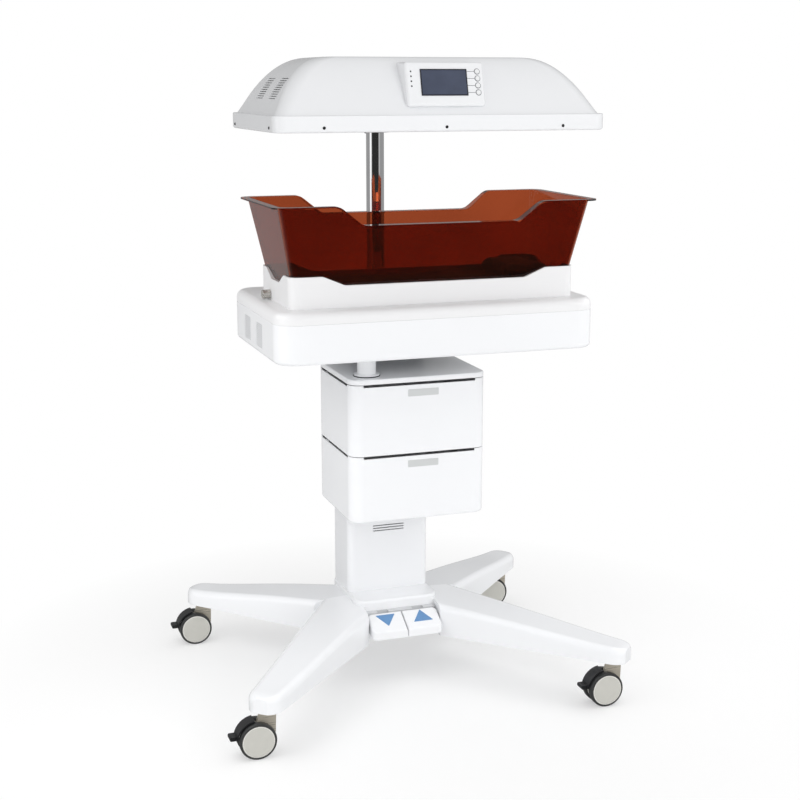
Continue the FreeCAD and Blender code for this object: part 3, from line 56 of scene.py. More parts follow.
# Colours, written as they show on screen
def tone(red, green, blue):
    """A screen colour of 0 to 255 a channel as the linear colour that shaders take."""
    def linear(value):
        share = value / 255
        return share / 12.92 if share <= 0.04045 else ((share + 0.055) / 1.055) ** 2.4
    return (linear(red), linear(green), linear(blue), 1.0)


WHITE_COVER = tone(245, 246, 248)
WHITE_PAINT = tone(243, 244, 246)
PALE_GREY = tone(240, 240, 241)
GUIDE_GREY = tone(214, 215, 217)
MOTOR_GREY = tone(120, 123, 128)
STEEL = tone(200, 198, 192)
ALUMINIUM = tone(182, 184, 187)
CHROME = tone(236, 236, 238)
NICKEL = tone(222, 214, 198)
AMBER = tone(154, 70, 39)
CLEAR = tone(240, 244, 246)
LAMP_GLASS = tone(238, 242, 250)
BLACK = tone(34, 35, 37)
TYRE = tone(60, 61, 61)
CAP = tone(200, 199, 192)
# painted highlight: the lighter ring on the wheel cap's rim stands in for light on its rounded edge
CAP_RIM_HIGHLIGHT = tone(222, 221, 216)
MATTRESS = tone(32, 35, 48)
PILLOW = tone(38, 41, 56)
PIPING = tone(22, 24, 33)
SCREEN = tone(76, 83, 102)
SCREEN_FRAME = tone(38, 40, 50)
KEY = tone(242, 243, 244)
PRINT = tone(104, 107, 113)
LED = tone(30, 31, 36)
ARROW_BLUE = tone(104, 149, 198)
LABEL = tone(210, 212, 212)
# painted shadow: a dark ring round the foot of the conduit post stands in for the shade there
FOOT_SHADOW = tone(64, 66, 70)
# one vent screen material in two copies: the hood's paler as painted light, the deck's darker as painted
# shade in its slits
HOOD_MESH_LIT = tone(230, 231, 232)
DECK_MESH_SHADED = tone(166, 168, 171)
FLOOR = tone(252, 252, 252)


# Shader building
COAT_ROUGHNESS = 0.08
NOISE_SPAN = (0.3, 0.7)
SMEAR_FINENESS = 6
GLOSS_SPREAD = 0.05
DRAWN_LINE_SCALE = 400.0
DRAWN_LINE_DETAIL = 4.0
DRAWN_GLOSS = (0.8, 1.3)
PLATING_SCALE = 18.0
PLATING_SHADE = 0.93
ACRYLIC_IOR = 1.49
TINT_SCALE = 4.0
FINGER_MARK_SCALE = 14.0
FINGER_MARK_GLOSS = (0.5, 1.5)
THREAD_ROUGHNESS = 0.8
THREAD_WOBBLE = 0.6
THREAD_SHADE = 0.5
GAP_DARKNESS = 0.35
FADE_SCALE = 25.0
FADE_SHADE = 0.75
UNIT_WAVE_PERIOD = math.pi / 10
WHEEL_RADIUS = 50 * MM
TYRE_DEPTH = 6.5 * MM
CAP_SHARE = (WHEEL_RADIUS - TYRE_DEPTH) / WHEEL_RADIUS
CAP_FLAT_SHARE = 0.93
CAP_SCALE = 40.0
CAP_SHADE = 0.95
TREAD_SCALE = 60.0
TREAD_SHADE = 0.75
SCUFF_SCALE = 90.0
WHEEL_GLOSS = (0.34, 0.5)
WHEEL_GRAIN = 700.0
WHEEL_GRAIN_DEPTH = 0.01 * MM
DRAWN_ALONG_Z = (1.0, 1.0, 0.03)
DRAWN_ALONG_X = (0.03, 1.0, 1.0)


def node_tree(name):
    made = bpy.data.materials.new(name)
    made.use_nodes = True
    tree = made.node_tree
    return made, tree, tree.nodes["Principled BSDF"]


def object_noise(tree, scale, detail=3.0):
    """Noise that stays on the surface, because it is read in the piece's own coordinates."""
    coords = tree.nodes.new("ShaderNodeTexCoord")
    noise = tree.nodes.new("ShaderNodeTexNoise")
    noise.inputs["Scale"].default_value = scale
    noise.inputs["Detail"].default_value = detail
    tree.links.new(coords.outputs["Object"], noise.inputs["Vector"])
    return noise.outputs["Fac"]


def shaded(colour, factor):
    return tuple(channel * factor for channel in colour[:3]) + (1.0,)


def colour_ramp(tree, source, stops):
    """The colour that a value of 0 to 1 has between stops, each a place and its colour."""
    ramp = tree.nodes.new("ShaderNodeValToRGB")
    elements = ramp.color_ramp.elements
    while len(elements) < len(stops):
        elements.new(1.0)
    for element, (place, colour) in zip(elements, stops):
        element.position = place
        element.color = colour
    tree.links.new(source, ramp.inputs["Fac"])
    return ramp.outputs["Color"]


def drifting_colour(tree, colour, shade, scale, detail=3.0):
    """Slow patches of a colour and of a darker shade of it."""
    noise = object_noise(tree, scale, detail)
    return colour_ramp(tree, noise, list(zip(NOISE_SPAN, (shaded(colour, shade), colour))))


def vary_value(tree, source, low, high, start=NOISE_SPAN[0], end=NOISE_SPAN[1]):
    span = tree.nodes.new("ShaderNodeMapRange")
    span.inputs["From Min"].default_value = start
    span.inputs["From Max"].default_value = end
    span.inputs["To Min"].default_value = low
    span.inputs["To Max"].default_value = high
    tree.links.new(source, span.inputs["Value"])
    return span.outputs["Result"]


def mix_colours(tree, factor, first, second):
    """A colour between two, each a socket or a plain colour."""
    mix = tree.nodes.new("ShaderNodeMix")
    mix.data_type = "RGBA"
    sockets = {item.name: item for item in mix.inputs if item.enabled}
    tree.links.new(factor, sockets["Factor"])
    for name, value in (("A", first), ("B", second)):
        if isinstance(value, tuple):
            sockets[name].default_value = value
        else:
            tree.links.new(value, sockets[name])
    return [item for item in mix.outputs if item.enabled][0]


def combine(tree, operation, first, second):
    """A sum or the like of two values, each a socket or a number."""
    step = tree.nodes.new("ShaderNodeMath")
    step.operation = operation
    for index, value in enumerate((first, second)):
        if isinstance(value, float):
            step.inputs[index].default_value = value
        else:
            tree.links.new(value, step.inputs[index])
    return step.outputs["Value"]


def add_bump(tree, shader, source, depth):
    bump = tree.nodes.new("ShaderNodeBump")
    bump.inputs["Distance"].default_value = depth
    tree.links.new(source, bump.inputs["Height"])
    tree.links.new(bump.outputs["Normal"], shader.inputs["Normal"])


def surface(name, colour, roughness, drift=0.01, patch=2.0, grain=260.0, depth=0.004 * MM, coat=0.0):
    """A moulded or painted finish: slow colour drift, uneven gloss and a fine grain."""
    made, tree, shader = node_tree(name)
    shader.inputs["Coat Weight"].default_value = coat
    shader.inputs["Coat Roughness"].default_value = COAT_ROUGHNESS
    tree.links.new(drifting_colour(tree, colour, 1 - drift, patch), shader.inputs["Base Color"])
    smear = object_noise(tree, patch * SMEAR_FINENESS)
    low, high = roughness * (1 - GLOSS_SPREAD), roughness * (1 + GLOSS_SPREAD)
    tree.links.new(vary_value(tree, smear, low, high), shader.inputs["Roughness"])
    add_bump(tree, shader, object_noise(tree, grain, detail=2.0), depth)
    return made


def brushed(name, colour, roughness, stretch, depth=0.004 * MM, metallic=1.0):
    """Metal with fine drawn lines along one axis; a dull plating is less than fully metallic."""
    made, tree, shader = node_tree(name)
    shader.inputs["Metallic"].default_value = metallic
    coords = tree.nodes.new("ShaderNodeTexCoord")
    scaling = tree.nodes.new("ShaderNodeMapping")
    scaling.inputs["Scale"].default_value = stretch
    lines = tree.nodes.new("ShaderNodeTexNoise")
    lines.inputs["Scale"].default_value = DRAWN_LINE_SCALE
    lines.inputs["Detail"].default_value = DRAWN_LINE_DETAIL
    tree.links.new(coords.outputs["Object"], scaling.inputs["Vector"])
    tree.links.new(scaling.outputs["Vector"], lines.inputs["Vector"])
    plating = drifting_colour(tree, colour, PLATING_SHADE, PLATING_SCALE)
    tree.links.new(plating, shader.inputs["Base Color"])
    low, high = (roughness * share for share in DRAWN_GLOSS)
    tree.links.new(vary_value(tree, lines.outputs["Fac"], low, high), shader.inputs["Roughness"])
    add_bump(tree, shader, lines.outputs["Fac"], depth)
    return made


def clear_plastic(name, colour, roughness, drift):
    """A see-through formed sheet whose tint drifts with its thickness, with faint smears in its gloss."""
    made, tree, shader = node_tree(name)
    tint = drifting_colour(tree, colour, 1 - drift, TINT_SCALE, detail=1.0)
    tree.links.new(tint, shader.inputs["Base Color"])
    shader.inputs["Transmission Weight"].default_value = 1.0
    shader.inputs["IOR"].default_value = ACRYLIC_IOR
    marks = object_noise(tree, FINGER_MARK_SCALE)
    low, high = (roughness * share for share in FINGER_MARK_GLOSS)
    tree.links.new(vary_value(tree, marks, low, high), shader.inputs["Roughness"])
    return made


def axle_distance(tree):
    """How far a point of a wheel is from its axle, as a share of the wheel's radius."""
    coords = tree.nodes.new("ShaderNodeTexCoord")
    parts = tree.nodes.new("ShaderNodeSeparateXYZ")
    tree.links.new(coords.outputs["Generated"], parts.inputs["Vector"])
    squares = []
    for axis in ("X", "Z"):
        centred = combine(tree, "SUBTRACT", parts.outputs[axis], 0.5)
        squares.append(combine(tree, "MULTIPLY", centred, centred))
    half_reach = combine(tree, "POWER", combine(tree, "ADD", *squares), 0.5)
    return combine(tree, "MULTIPLY", half_reach, 2.0)


def wheel_finish(name):
    """Dark tread outside, and inside it a pale cap whose rim is a lighter ring of painted highlight,
    standing in for light on its rounded edge.
    """
    made, tree, shader = node_tree(name)
    reach = axle_distance(tree)
    cap = drifting_colour(tree, CAP, CAP_SHADE, CAP_SCALE)
    # the cap's outer ring takes the painted highlight colour
    on_highlight_ring = combine(tree, "GREATER_THAN", reach, CAP_SHARE * CAP_FLAT_SHARE)
    cap_with_highlight = mix_colours(tree, on_highlight_ring, cap, CAP_RIM_HIGHLIGHT)
    tread = drifting_colour(tree, TYRE, TREAD_SHADE, TREAD_SCALE)
    on_tread = combine(tree, "GREATER_THAN", reach, CAP_SHARE)
    tree.links.new(mix_colours(tree, on_tread, cap_with_highlight, tread), shader.inputs["Base Color"])
    scuffs = object_noise(tree, SCUFF_SCALE)
    tree.links.new(vary_value(tree, scuffs, *WHEEL_GLOSS), shader.inputs["Roughness"])
    add_bump(tree, shader, object_noise(tree, WHEEL_GRAIN), WHEEL_GRAIN_DEPTH)
    return made


def weave(name, colour, pitch, depth, sheen):
    """Woven cover: crossing threads at a real pitch, with slow fading."""
    made, tree, shader = node_tree(name)
    shader.inputs["Sheen Weight"].default_value = sheen
    shader.inputs["Roughness"].default_value = THREAD_ROUGHNESS
    coords = tree.nodes.new("ShaderNodeTexCoord")
    threads = []
    for direction in ("X", "Y"):
        wave = tree.nodes.new("ShaderNodeTexWave")
        wave.bands_direction = direction
        wave.inputs["Scale"].default_value = UNIT_WAVE_PERIOD / pitch
        wave.inputs["Distortion"].default_value = THREAD_WOBBLE
        tree.links.new(coords.outputs["Object"], wave.inputs["Vector"])
        threads.append(wave.outputs["Fac"])
    crossing = combine(tree, "MAXIMUM", *threads)
    faded = drifting_colour(tree, colour, FADE_SHADE, FADE_SCALE)
    gaps = vary_value(tree, crossing, GAP_DARKNESS, 0.0)
    woven = mix_colours(tree, gaps, faded, shaded(colour, THREAD_SHADE))
    tree.links.new(woven, shader.inputs["Base Color"])
    add_bump(tree, shader, crossing, depth)
    return made


finishes = {
    "white_cover": surface("white_cover", WHITE_COVER, roughness=0.26, coat=0.2),
    "white_paint": surface("white_paint", WHITE_PAINT, roughness=0.3, grain=420.0, depth=0.006 * MM,
                           coat=0.25),
    "grey_cover": surface("grey_cover", PALE_GREY, roughness=0.34, grain=900.0, depth=0.006 * MM),
    "guide_plastic": surface("guide_plastic", GUIDE_GREY, roughness=0.5),
    "motor_grey": surface("motor_grey", MOTOR_GREY, roughness=0.5, grain=400.0, depth=0.02 * MM),
    "steel": brushed("steel", STEEL, roughness=0.25, stretch=DRAWN_ALONG_X, metallic=0.7),
    "aluminium": brushed("aluminium", ALUMINIUM, roughness=0.36, stretch=DRAWN_ALONG_Z, metallic=0.7),
    "chrome": brushed("chrome", CHROME, roughness=0.05, stretch=DRAWN_ALONG_Z, depth=0.0005 * MM),
    "nickel": brushed("nickel", NICKEL, roughness=0.3, stretch=DRAWN_ALONG_X, metallic=0.5),
    "amber_acrylic": clear_plastic("amber_acrylic", AMBER, roughness=0.02, drift=0.22),
    "clear_panel": clear_plastic("clear_panel", CLEAR, roughness=0.08, drift=0.03),
    "lamp": surface("lamp", LAMP_GLASS, roughness=0.2, coat=0.5),
    "black_plastic": surface("black_plastic", BLACK, roughness=0.38, drift=0.2, patch=30.0, grain=700.0,
                             depth=0.01 * MM),
    "castor_tread": wheel_finish("castor_tread"),
    "mattress_cover": weave("mattress_cover", MATTRESS, pitch=0.9 * MM, depth=0.12 * MM, sheen=0.15),
    "pillow_cover": weave("pillow_cover", PILLOW, pitch=0.7 * MM, depth=0.1 * MM, sheen=0.2),
    "screen_glass": surface("screen_glass", SCREEN, roughness=0.16, drift=0.12, patch=30.0,
                            depth=0.001 * MM, coat=0.3),
    "key_plastic": surface("key_plastic", KEY, roughness=0.4),
}
print_ink = surface("print_ink", PRINT, roughness=0.55)
frame_ink = surface("screen_frame_ink", SCREEN_FRAME, roughness=0.3)
led_lens = surface("led_lens", LED, roughness=0.2, coat=0.6)
arrow_ink = surface("arrow_ink", ARROW_BLUE, roughness=0.4, drift=0.06, patch=60.0)
label_plate = surface("label_plate", LABEL, roughness=0.35, drift=0.03)
# finish of the painted shadow ring at the conduit post's foot
painted_foot_shadow = surface("painted_foot_shadow", FOOT_SHADOW, roughness=0.6, drift=0.1)
# the hood and deck screens differ only by painted light and painted shade
vent_mesh_light_and_shade = {}
for vent, colour in (("hood", HOOD_MESH_LIT), ("deck", DECK_MESH_SHADED)):
    vent_mesh_light_and_shade[vent] = surface(f"vent_mesh_{vent}", colour, roughness=0.7, drift=0.05, patch=40.0,
                                grain=500.0, depth=0.05 * MM)
piping_cover = weave("piping_cover", PIPING, pitch=0.9 * MM, depth=0.1 * MM, sheen=0.2)

for part in frame["record"]["subparts"]:
    shown = nodes[part["node"]]
    shown.data.materials.clear()
    shown.data.materials.append(finishes[part["material_slot"]])


# Mesh building
SHARP_ANGLE = math.radians(40)
ROUND_STEPS = 40
UPRIGHT_LIMIT = 0.001


def add_piece(name, verts, faces, finish, body):
    """A new smooth-shaded piece that rides on a body, with its sharp edges kept."""
    mesh = bpy.data.meshes.new(name)
    mesh.from_pydata([tuple(vert) for vert in verts], [], faces)
    shape = bmesh.new()
    shape.from_mesh(mesh)
    bmesh.ops.recalc_face_normals(shape, faces=shape.faces)
    shape.to_mesh(mesh)
    shape.free()
    mesh.materials.append(finish)
    mesh.shade_smooth()
    mesh.set_sharp_from_angle(angle=SHARP_ANGLE)
    piece = bpy.data.objects.new(name, mesh)
    scene.collection.objects.link(piece)
    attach(piece, body)
    return piece


def ring_faces(rings, count, closed=False):
    """Quads between neighbouring rings of points, with caps at both ends unless the rings form a loop."""
    pairs = list(zip(range(rings), range(1, rings)))
    if closed:
        pairs.append((rings - 1, 0))
    faces = []
    for first, second in pairs:
        for step in range(count):
            after = (step + 1) % count
            faces.append((first * count + step, first * count + after,
                          second * count + after, second * count + step))
    if not closed:
        faces.append(tuple(range(count)))
        faces.append(tuple(range((rings - 1) * count, rings * count)))
    return faces


def axes_for(out):
    """Two directions square to out and to each other, the first as level as can be."""
    level = Vector((0, 0, 1)).cross(out)
    along = level.normalized() if level.length > UPRIGHT_LIMIT else Vector((1, 0, 0))
    return along, out.cross(along)


def add_turned(name, profile, centre, out, finish, body, closed=False):
    """A solid of revolution from (radius, height) points; a closed profile makes a ring."""
    along, up = axes_for(out)
    verts = []
    for radius, height in profile:
        for step in range(ROUND_STEPS):
            turn = 2 * math.pi * step / ROUND_STEPS
            side = along * math.cos(turn) + up * math.sin(turn)
            verts.append(centre + side * radius + out * height)
    return add_piece(name, verts, ring_faces(len(profile), ROUND_STEPS, closed), finish, body)


def add_ring(name, inner, outer, height, centre, out, finish, body):
    edge = height / 3
    profile = [(inner, -height), (inner, height - edge), (inner + edge, height), (outer - edge, height),
               (outer, height - edge), (outer, -height)]
    return add_turned(name, profile, centre, out, finish, body, closed=True)


def round_corners(points, radius, steps=6):
    """A closed outline with each corner replaced by a short curve."""
    outline = []
    for index, point in enumerate(points):
        corner = Vector(point)
        before = (Vector(points[index - 1]) - corner).normalized() * radius
        after = (Vector(points[(index + 1) % len(points)]) - corner).normalized() * radius
        for step in range(steps + 1):
            share = step / steps
            outline.append(corner + before * (1 - share) ** 2 + after * share ** 2)
    return outline


def add_plate(name, points, corner, height, bevel, place, along, up, finish, body):
    """A plate with a bevelled top edge that stands out of a plane by its height, and is let in as deep."""
    out = along.cross(up)
    outline = round_corners(points, corner)
    middle = sum(outline, Vector((0, 0))) / len(outline)
    verts = []
    for lift, pull in ((-height, 0.0), (height - bevel, 0.0), (height, bevel)):
        for point in outline:
            flat = point + (middle - point).normalized() * pull
            verts.append(place + along * flat.x + up * flat.y + out * lift)
    return add_piece(name, verts, ring_faces(3, len(outline)), finish, body)


def rectangle(width, height):
    half_x, half_y = width / 2, height / 2
    return [(-half_x, -half_y), (half_x, -half_y), (half_x, half_y), (-half_x, half_y)]


def centre_of(node):
    low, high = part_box(node)
    return (low + high) / 2


# Camera, at the photograph's viewing angle
CAMERA_PLACE = (-1.318, -3.847, 1.7335)
CAMERA_PITCH = 77.5
CAMERA_YAW = -19.0
CAMERA_LENS = 64.69


def add_camera():
    data = bpy.data.cameras.new("camera")
    data.lens = CAMERA_LENS
    camera = bpy.data.objects.new("camera", data)
    camera.location = CAMERA_PLACE
    camera.rotation_euler = (math.radians(CAMERA_PITCH), 0.0, math.radians(CAMERA_YAW))
    scene.collection.objects.link(camera)
    scene.camera = camera


# Stage: pale floor that fades into a white surround, and soft lamps
FLOOR_REACH = 12.0
FLOOR_ROUGHNESS = 0.9
FLOOR_FADE = (0.5, 1.35)
SURROUND_LIGHT = 0.64
FRONT_LIGHT = 0.3
FLOOR_GLOW = 0.3
FRONT_REFLECTION = 0.05
BACK_REFLECTION = 0.4
FLOOR_FRONT_TO_BACK = (-1.0, 0.8)
INTO_ROOM = (0.326, 0.945, 0.0)
ROOM_REFLECTION = ((0.0, 0.03), (0.165, 0.03), (0.19, 0.62), (0.27, 0.5), (0.36, 0.33), (0.8, 0.36),
                   (1.0, 0.3))
HOOD_LEVEL = Vector((0.0, 0.0, 1.0))
KEY_LAMP_PLACE = (0.8, -5.0, 1.5)
KEY_LAMP_POWER = 47.0
SIDE_LAMP_PLACE = (-4.5, -1.0, 0.8)
SIDE_LAMP_POWER = 13.0
BROAD_LAMP = 2.6
SMALL_LAMP = 0.9
LAMP_Y = -0.35
DOWN_LAMPS = (("deck_lamp_left", -1.15, 1.42, 4.0), ("deck_lamp_right", 1.15, 1.42, 4.6),
              ("base_lamp_left", -0.95, 0.95, 1.4), ("base_lamp_right", 0.95, 0.95, 0.5))


def seen_rays(tree, *kinds):
    """1 for rays of the named kinds, and 0 for the rest."""
    path = tree.nodes.new("ShaderNodeLightPath")
    seen = path.outputs[kinds[0]]
    for kind in kinds[1:]:
        seen = combine(tree, "MAXIMUM", seen, path.outputs[kind])
    return seen


def mirror_rays(tree):
    """1 for rays that a shiny surface throws back, and 0 for the rest."""
    not_passed = combine(tree, "SUBTRACT", 1.0, seen_rays(tree, "Is Transmission Ray"))
    return combine(tree, "MULTIPLY", seen_rays(tree, "Is Glossy Ray"), not_passed)


def room_mirror(tree, direction):
    """What mirrors show: dark in front, a bright strip at each side of it, and grey walls behind."""
    turned = tree.nodes.new("ShaderNodeVectorMath")
    turned.operation = "DOT_PRODUCT"
    turned.inputs[1].default_value = INTO_ROOM
    tree.links.new(direction, turned.inputs[0])
    share = vary_value(tree, turned.outputs["Value"], 0.0, 1.0, -1.0, 1.0)
    greys = [(place, (level, level, level, 1.0)) for place, level in ROOM_REFLECTION]
    return colour_ramp(tree, share, greys)


def floor_finish():
    """Pale paint that takes the bed's shadow and fades to white round it; mirrors show it grey."""
    made, tree, shader = node_tree("floor_finish")
    shader.inputs["Base Color"].default_value = FLOOR
    shader.inputs["Roughness"].default_value = FLOOR_ROUGHNESS
    shader.inputs["Specular IOR Level"].default_value = 0.0
    coords = tree.nodes.new("ShaderNodeTexCoord")
    distance = tree.nodes.new("ShaderNodeVectorMath")
    distance.operation = "LENGTH"
    tree.links.new(coords.outputs["Object"], distance.inputs[0])
    fade = vary_value(tree, distance.outputs["Value"], FLOOR_GLOW, 1.0, *FLOOR_FADE)
    parts = tree.nodes.new("ShaderNodeSeparateXYZ")
    tree.links.new(coords.outputs["Object"], parts.inputs["Vector"])
    mirrored = vary_value(tree, parts.outputs["Y"], FRONT_REFLECTION, BACK_REFLECTION, *FLOOR_FRONT_TO_BACK)
    mirror = mirror_rays(tree)
    seen = seen_rays(tree, "Is Camera Ray", "Is Transmission Ray")
    glow = tree.nodes.new("ShaderNodeEmission")
    strength = combine(tree, "MAXIMUM", combine(tree, "MULTIPLY", mirrored, mirror), seen)
    tree.links.new(strength, glow.inputs["Strength"])
    mix = tree.nodes.new("ShaderNodeMixShader")
    share = combine(tree, "MAXIMUM", combine(tree, "MULTIPLY", fade, seen), mirror)
    tree.links.new(share, mix.inputs["Fac"])
    tree.links.new(shader.outputs["BSDF"], mix.inputs[1])
    tree.links.new(glow.outputs["Emission"], mix.inputs[2])
    tree.links.new(mix.outputs["Shader"], tree.nodes["Material Output"].inputs["Surface"])
    return made


def add_floor():
    mesh = bpy.data.meshes.new("floor")
    corners = [(x, y, 0.0) for x, y in rectangle(2 * FLOOR_REACH, 2 * FLOOR_REACH)]
    mesh.from_pydata(corners, [], [(0, 1, 2, 3)])
    mesh.materials.append(floor_finish())
    floor = bpy.data.objects.new("floor", mesh)
    scene.collection.objects.link(floor)


def add_world():
    """White where it is seen, with a soft light from all round and more of it from the front."""
    world = bpy.data.worlds.new("surround")
    scene.world = world
    world.use_nodes = True
    tree = world.node_tree
    coords = tree.nodes.new("ShaderNodeTexCoord")
    parts = tree.nodes.new("ShaderNodeSeparateXYZ")
    tree.links.new(coords.outputs["Generated"], parts.inputs["Vector"])
    mirror = mirror_rays(tree)
    mirrored = room_mirror(tree, coords.outputs["Generated"])
    soft = vary_value(tree, parts.outputs["Y"], SURROUND_LIGHT + FRONT_LIGHT, SURROUND_LIGHT, -1.0, 0.0)
    plain = combine(tree, "ADD", combine(tree, "MULTIPLY", mirrored, mirror),
                    combine(tree, "MULTIPLY", soft, combine(tree, "SUBTRACT", 1.0, mirror)))
    seen = seen_rays(tree, "Is Camera Ray", "Is Transmission Ray")
    back = tree.nodes["Background"]
    back.inputs["Color"].default_value = (1.0, 1.0, 1.0, 1.0)
    tree.links.new(combine(tree, "MAXIMUM", plain, seen), back.inputs["Strength"])


def add_lamp(name, place, width, power, aim, mirrored=True):
    """A square lamp that the camera doesn't see, and mirrors only where it says so."""
    data = bpy.data.lights.new(name, "AREA")
    data.size = width
    data.energy = power
    lamp = bpy.data.objects.new(name, data)
    lamp.location = place
    lamp.rotation_euler = (aim - lamp.location).to_track_quat("-Z", "Y").to_euler()
    lamp.visible_camera = False
    lamp.visible_glossy = mirrored
    scene.collection.objects.link(lamp)


def add_stage():
    add_floor()
    add_world()
    add_lamp("key_lamp", KEY_LAMP_PLACE, BROAD_LAMP, KEY_LAMP_POWER, HOOD_LEVEL, mirrored=False)
    add_lamp("side_lamp", SIDE_LAMP_PLACE, BROAD_LAMP, SIDE_LAMP_POWER, HOOD_LEVEL)
    for name, x, z, power in DOWN_LAMPS:
        add_lamp(name, (x, LAMP_Y, z), SMALL_LAMP, power, Vector((x, LAMP_Y, 0.0)))
    scene.view_settings.view_transform = "Standard"


# Mattress and pillow: crowned pads swollen by a cloth simulation, with piping round their seams
SWELL_FRAMES = 20
VOXEL = 5 * MM
PAD_LEVELS = 10
CORNER_STEPS = 8
SIDE_STEPS = 8
UNDERSIDE_SHARE = 0.25
PIPING_RADIUS = 1.8 * MM
PIPING_COUNT = 120
PIPING_ROUNDNESS = 3
COVER_TENSION = 12.0
COVER_BENDING = 0.8


def pad_outline(length, width, corner, draw):
    """Points round a rectangle with round corners, whose sides pull in between the corners."""
    half_x, half_y = length / 2, width / 2
    arcs = []
    for sign_x, sign_y, start in ((1, 1, 0), (-1, 1, 90), (-1, -1, 180), (1, -1, 270)):
        middle = Vector((sign_x * (half_x - corner), sign_y * (half_y - corner)))
        turns = [math.radians(start + 90 * step / CORNER_STEPS) for step in range(CORNER_STEPS + 1)]
        arcs.append([middle + corner * Vector((math.cos(turn), math.sin(turn))) for turn in turns])
    points = []
    for index, arc in enumerate(arcs):
        start, end = arc[-1], arcs[(index + 1) % len(arcs)][0]
        points += arc + [start.lerp(end, step / SIDE_STEPS) for step in range(1, SIDE_STEPS)]
    pulled = []
    for point in points:
        pull_x = draw / half_x * (1 - (point.y / half_y) ** 2)
        pull_y = draw / half_y * (1 - (point.x / half_x) ** 2)
        pulled.append((point.x * (1 - pull_x), point.y * (1 - pull_y)))
    return pulled


def pad_mesh(name, low, high, corner, draw, crown):
    """Stacked outlines of a crowned pad that fills a box."""
    size = high - low
    centre = (low + high) / 2
    verts = []
    for level in range(PAD_LEVELS + 1):
        turn = math.pi * (level / PAD_LEVELS - 0.5)
        shrink = crown * (1 - math.cos(turn)) * (1.0 if turn > 0 else UNDERSIDE_SHARE)
        radius = max(corner - shrink / 2, corner / 3)
        outline = pad_outline(size.x - 2 * shrink, size.y - 2 * shrink, radius, draw)
        z = centre.z + size.z / 2 * math.sin(turn)
        verts += [(centre.x + x, centre.y + y, z) for x, y in outline]
    mesh = bpy.data.meshes.new(name)
    mesh.from_pydata(verts, [], ring_faces(PAD_LEVELS + 1, len(outline)))
    return mesh


def apply_modifiers(piece):
    graph = bpy.context.evaluated_depsgraph_get()
    made = bpy.data.meshes.new_from_object(piece.evaluated_get(graph))
    piece.modifiers.clear()
    piece.data = made


def swell(piece, low, high, pressure, cap):
    """Blows the pad up as stuffing does, keeping each point near its start and in the pad's space."""
    start = [vert.co.copy() for vert in piece.data.vertices]
    cloth = piece.modifiers.new("cloth", "CLOTH")
    cloth.settings.use_pressure = True
    cloth.settings.uniform_pressure_force = pressure
    cloth.settings.effector_weights.gravity = 0.0
    cloth.settings.tension_stiffness = COVER_TENSION
    cloth.settings.bending_stiffness = COVER_BENDING
    for step in range(1, SWELL_FRAMES + 1):
        scene.frame_set(step)
    apply_modifiers(piece)
    for vert, before in zip(piece.data.vertices, start):
        move = vert.co - before
        if move.length > cap:
            vert.co = before + move.normalized() * cap
        for axis in range(3):
            vert.co[axis] = min(max(vert.co[axis], low[axis]), high[axis])
    scene.frame_set(1)


def add_pad(name, node, slot, corner, draw, crown, margin, pressure, cap):
    low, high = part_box(node)
    inner = Vector((margin, margin, margin / 2))
    piece = bpy.data.objects.new(name, pad_mesh(name, low + inner, high - inner, corner, draw, crown))
    scene.collection.objects.link(piece)
    remesh = piece.modifiers.new("remesh", "REMESH")
    remesh.mode = "VOXEL"
    remesh.voxel_size = VOXEL
    apply_modifiers(piece)
    swell(piece, low, high, pressure, cap)
    piece.data.shade_smooth()
    piece.data.materials.append(finishes[slot])
    add_seam(name + "_piping", piece, (low + high) / 2, high - low)
    soft = piece.modifiers.new("soft", "SUBSURF")
    soft.levels = 1
    soft.render_levels = 1
    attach(piece, "bassinet")
    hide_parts(node)


def add_seam(name, pad, centre, size):
    """Piping laid on the pad's side, where a level line round its middle meets the cover."""
    mesh = pad.data
    corners = [vert.co for vert in mesh.vertices]
    skin = BVHTree.FromPolygons(corners, [face.vertices for face in mesh.polygons])
    data = bpy.data.curves.new(name, "CURVE")
    data.dimensions = "3D"
    data.bevel_depth = PIPING_RADIUS
    data.bevel_resolution = PIPING_ROUNDNESS
    line = data.splines.new("NURBS")
    line.points.add(PIPING_COUNT - 1)
    for index, point in enumerate(line.points):
        turn = 2 * math.pi * index / PIPING_COUNT
        outward = Vector((size.x * math.cos(turn), size.y * math.sin(turn), 0))
        inward = -outward.normalized()
        place = skin.ray_cast(centre + outward, inward)[0]
        point.co = (*(place + inward * PIPING_RADIUS / 2), 1.0)
    line.use_cyclic_u = True
    line.order_u = 3
    data.materials.append(piping_cover)
    piping = bpy.data.objects.new(name, data)
    scene.collection.objects.link(piping)
    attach(piping, "bassinet")


def add_pads():
    add_pad("mattress_pad", "mattress", "mattress_cover", corner=36 * MM, draw=5 * MM, crown=12 * MM,
            margin=2 * MM, pressure=3.0, cap=5 * MM)
    add_pad("pillow_pad", "pillow", "pillow_cover", corner=32 * MM, draw=9 * MM, crown=30 * MM,
            margin=3 * MM, pressure=4.0, cap=8 * MM)


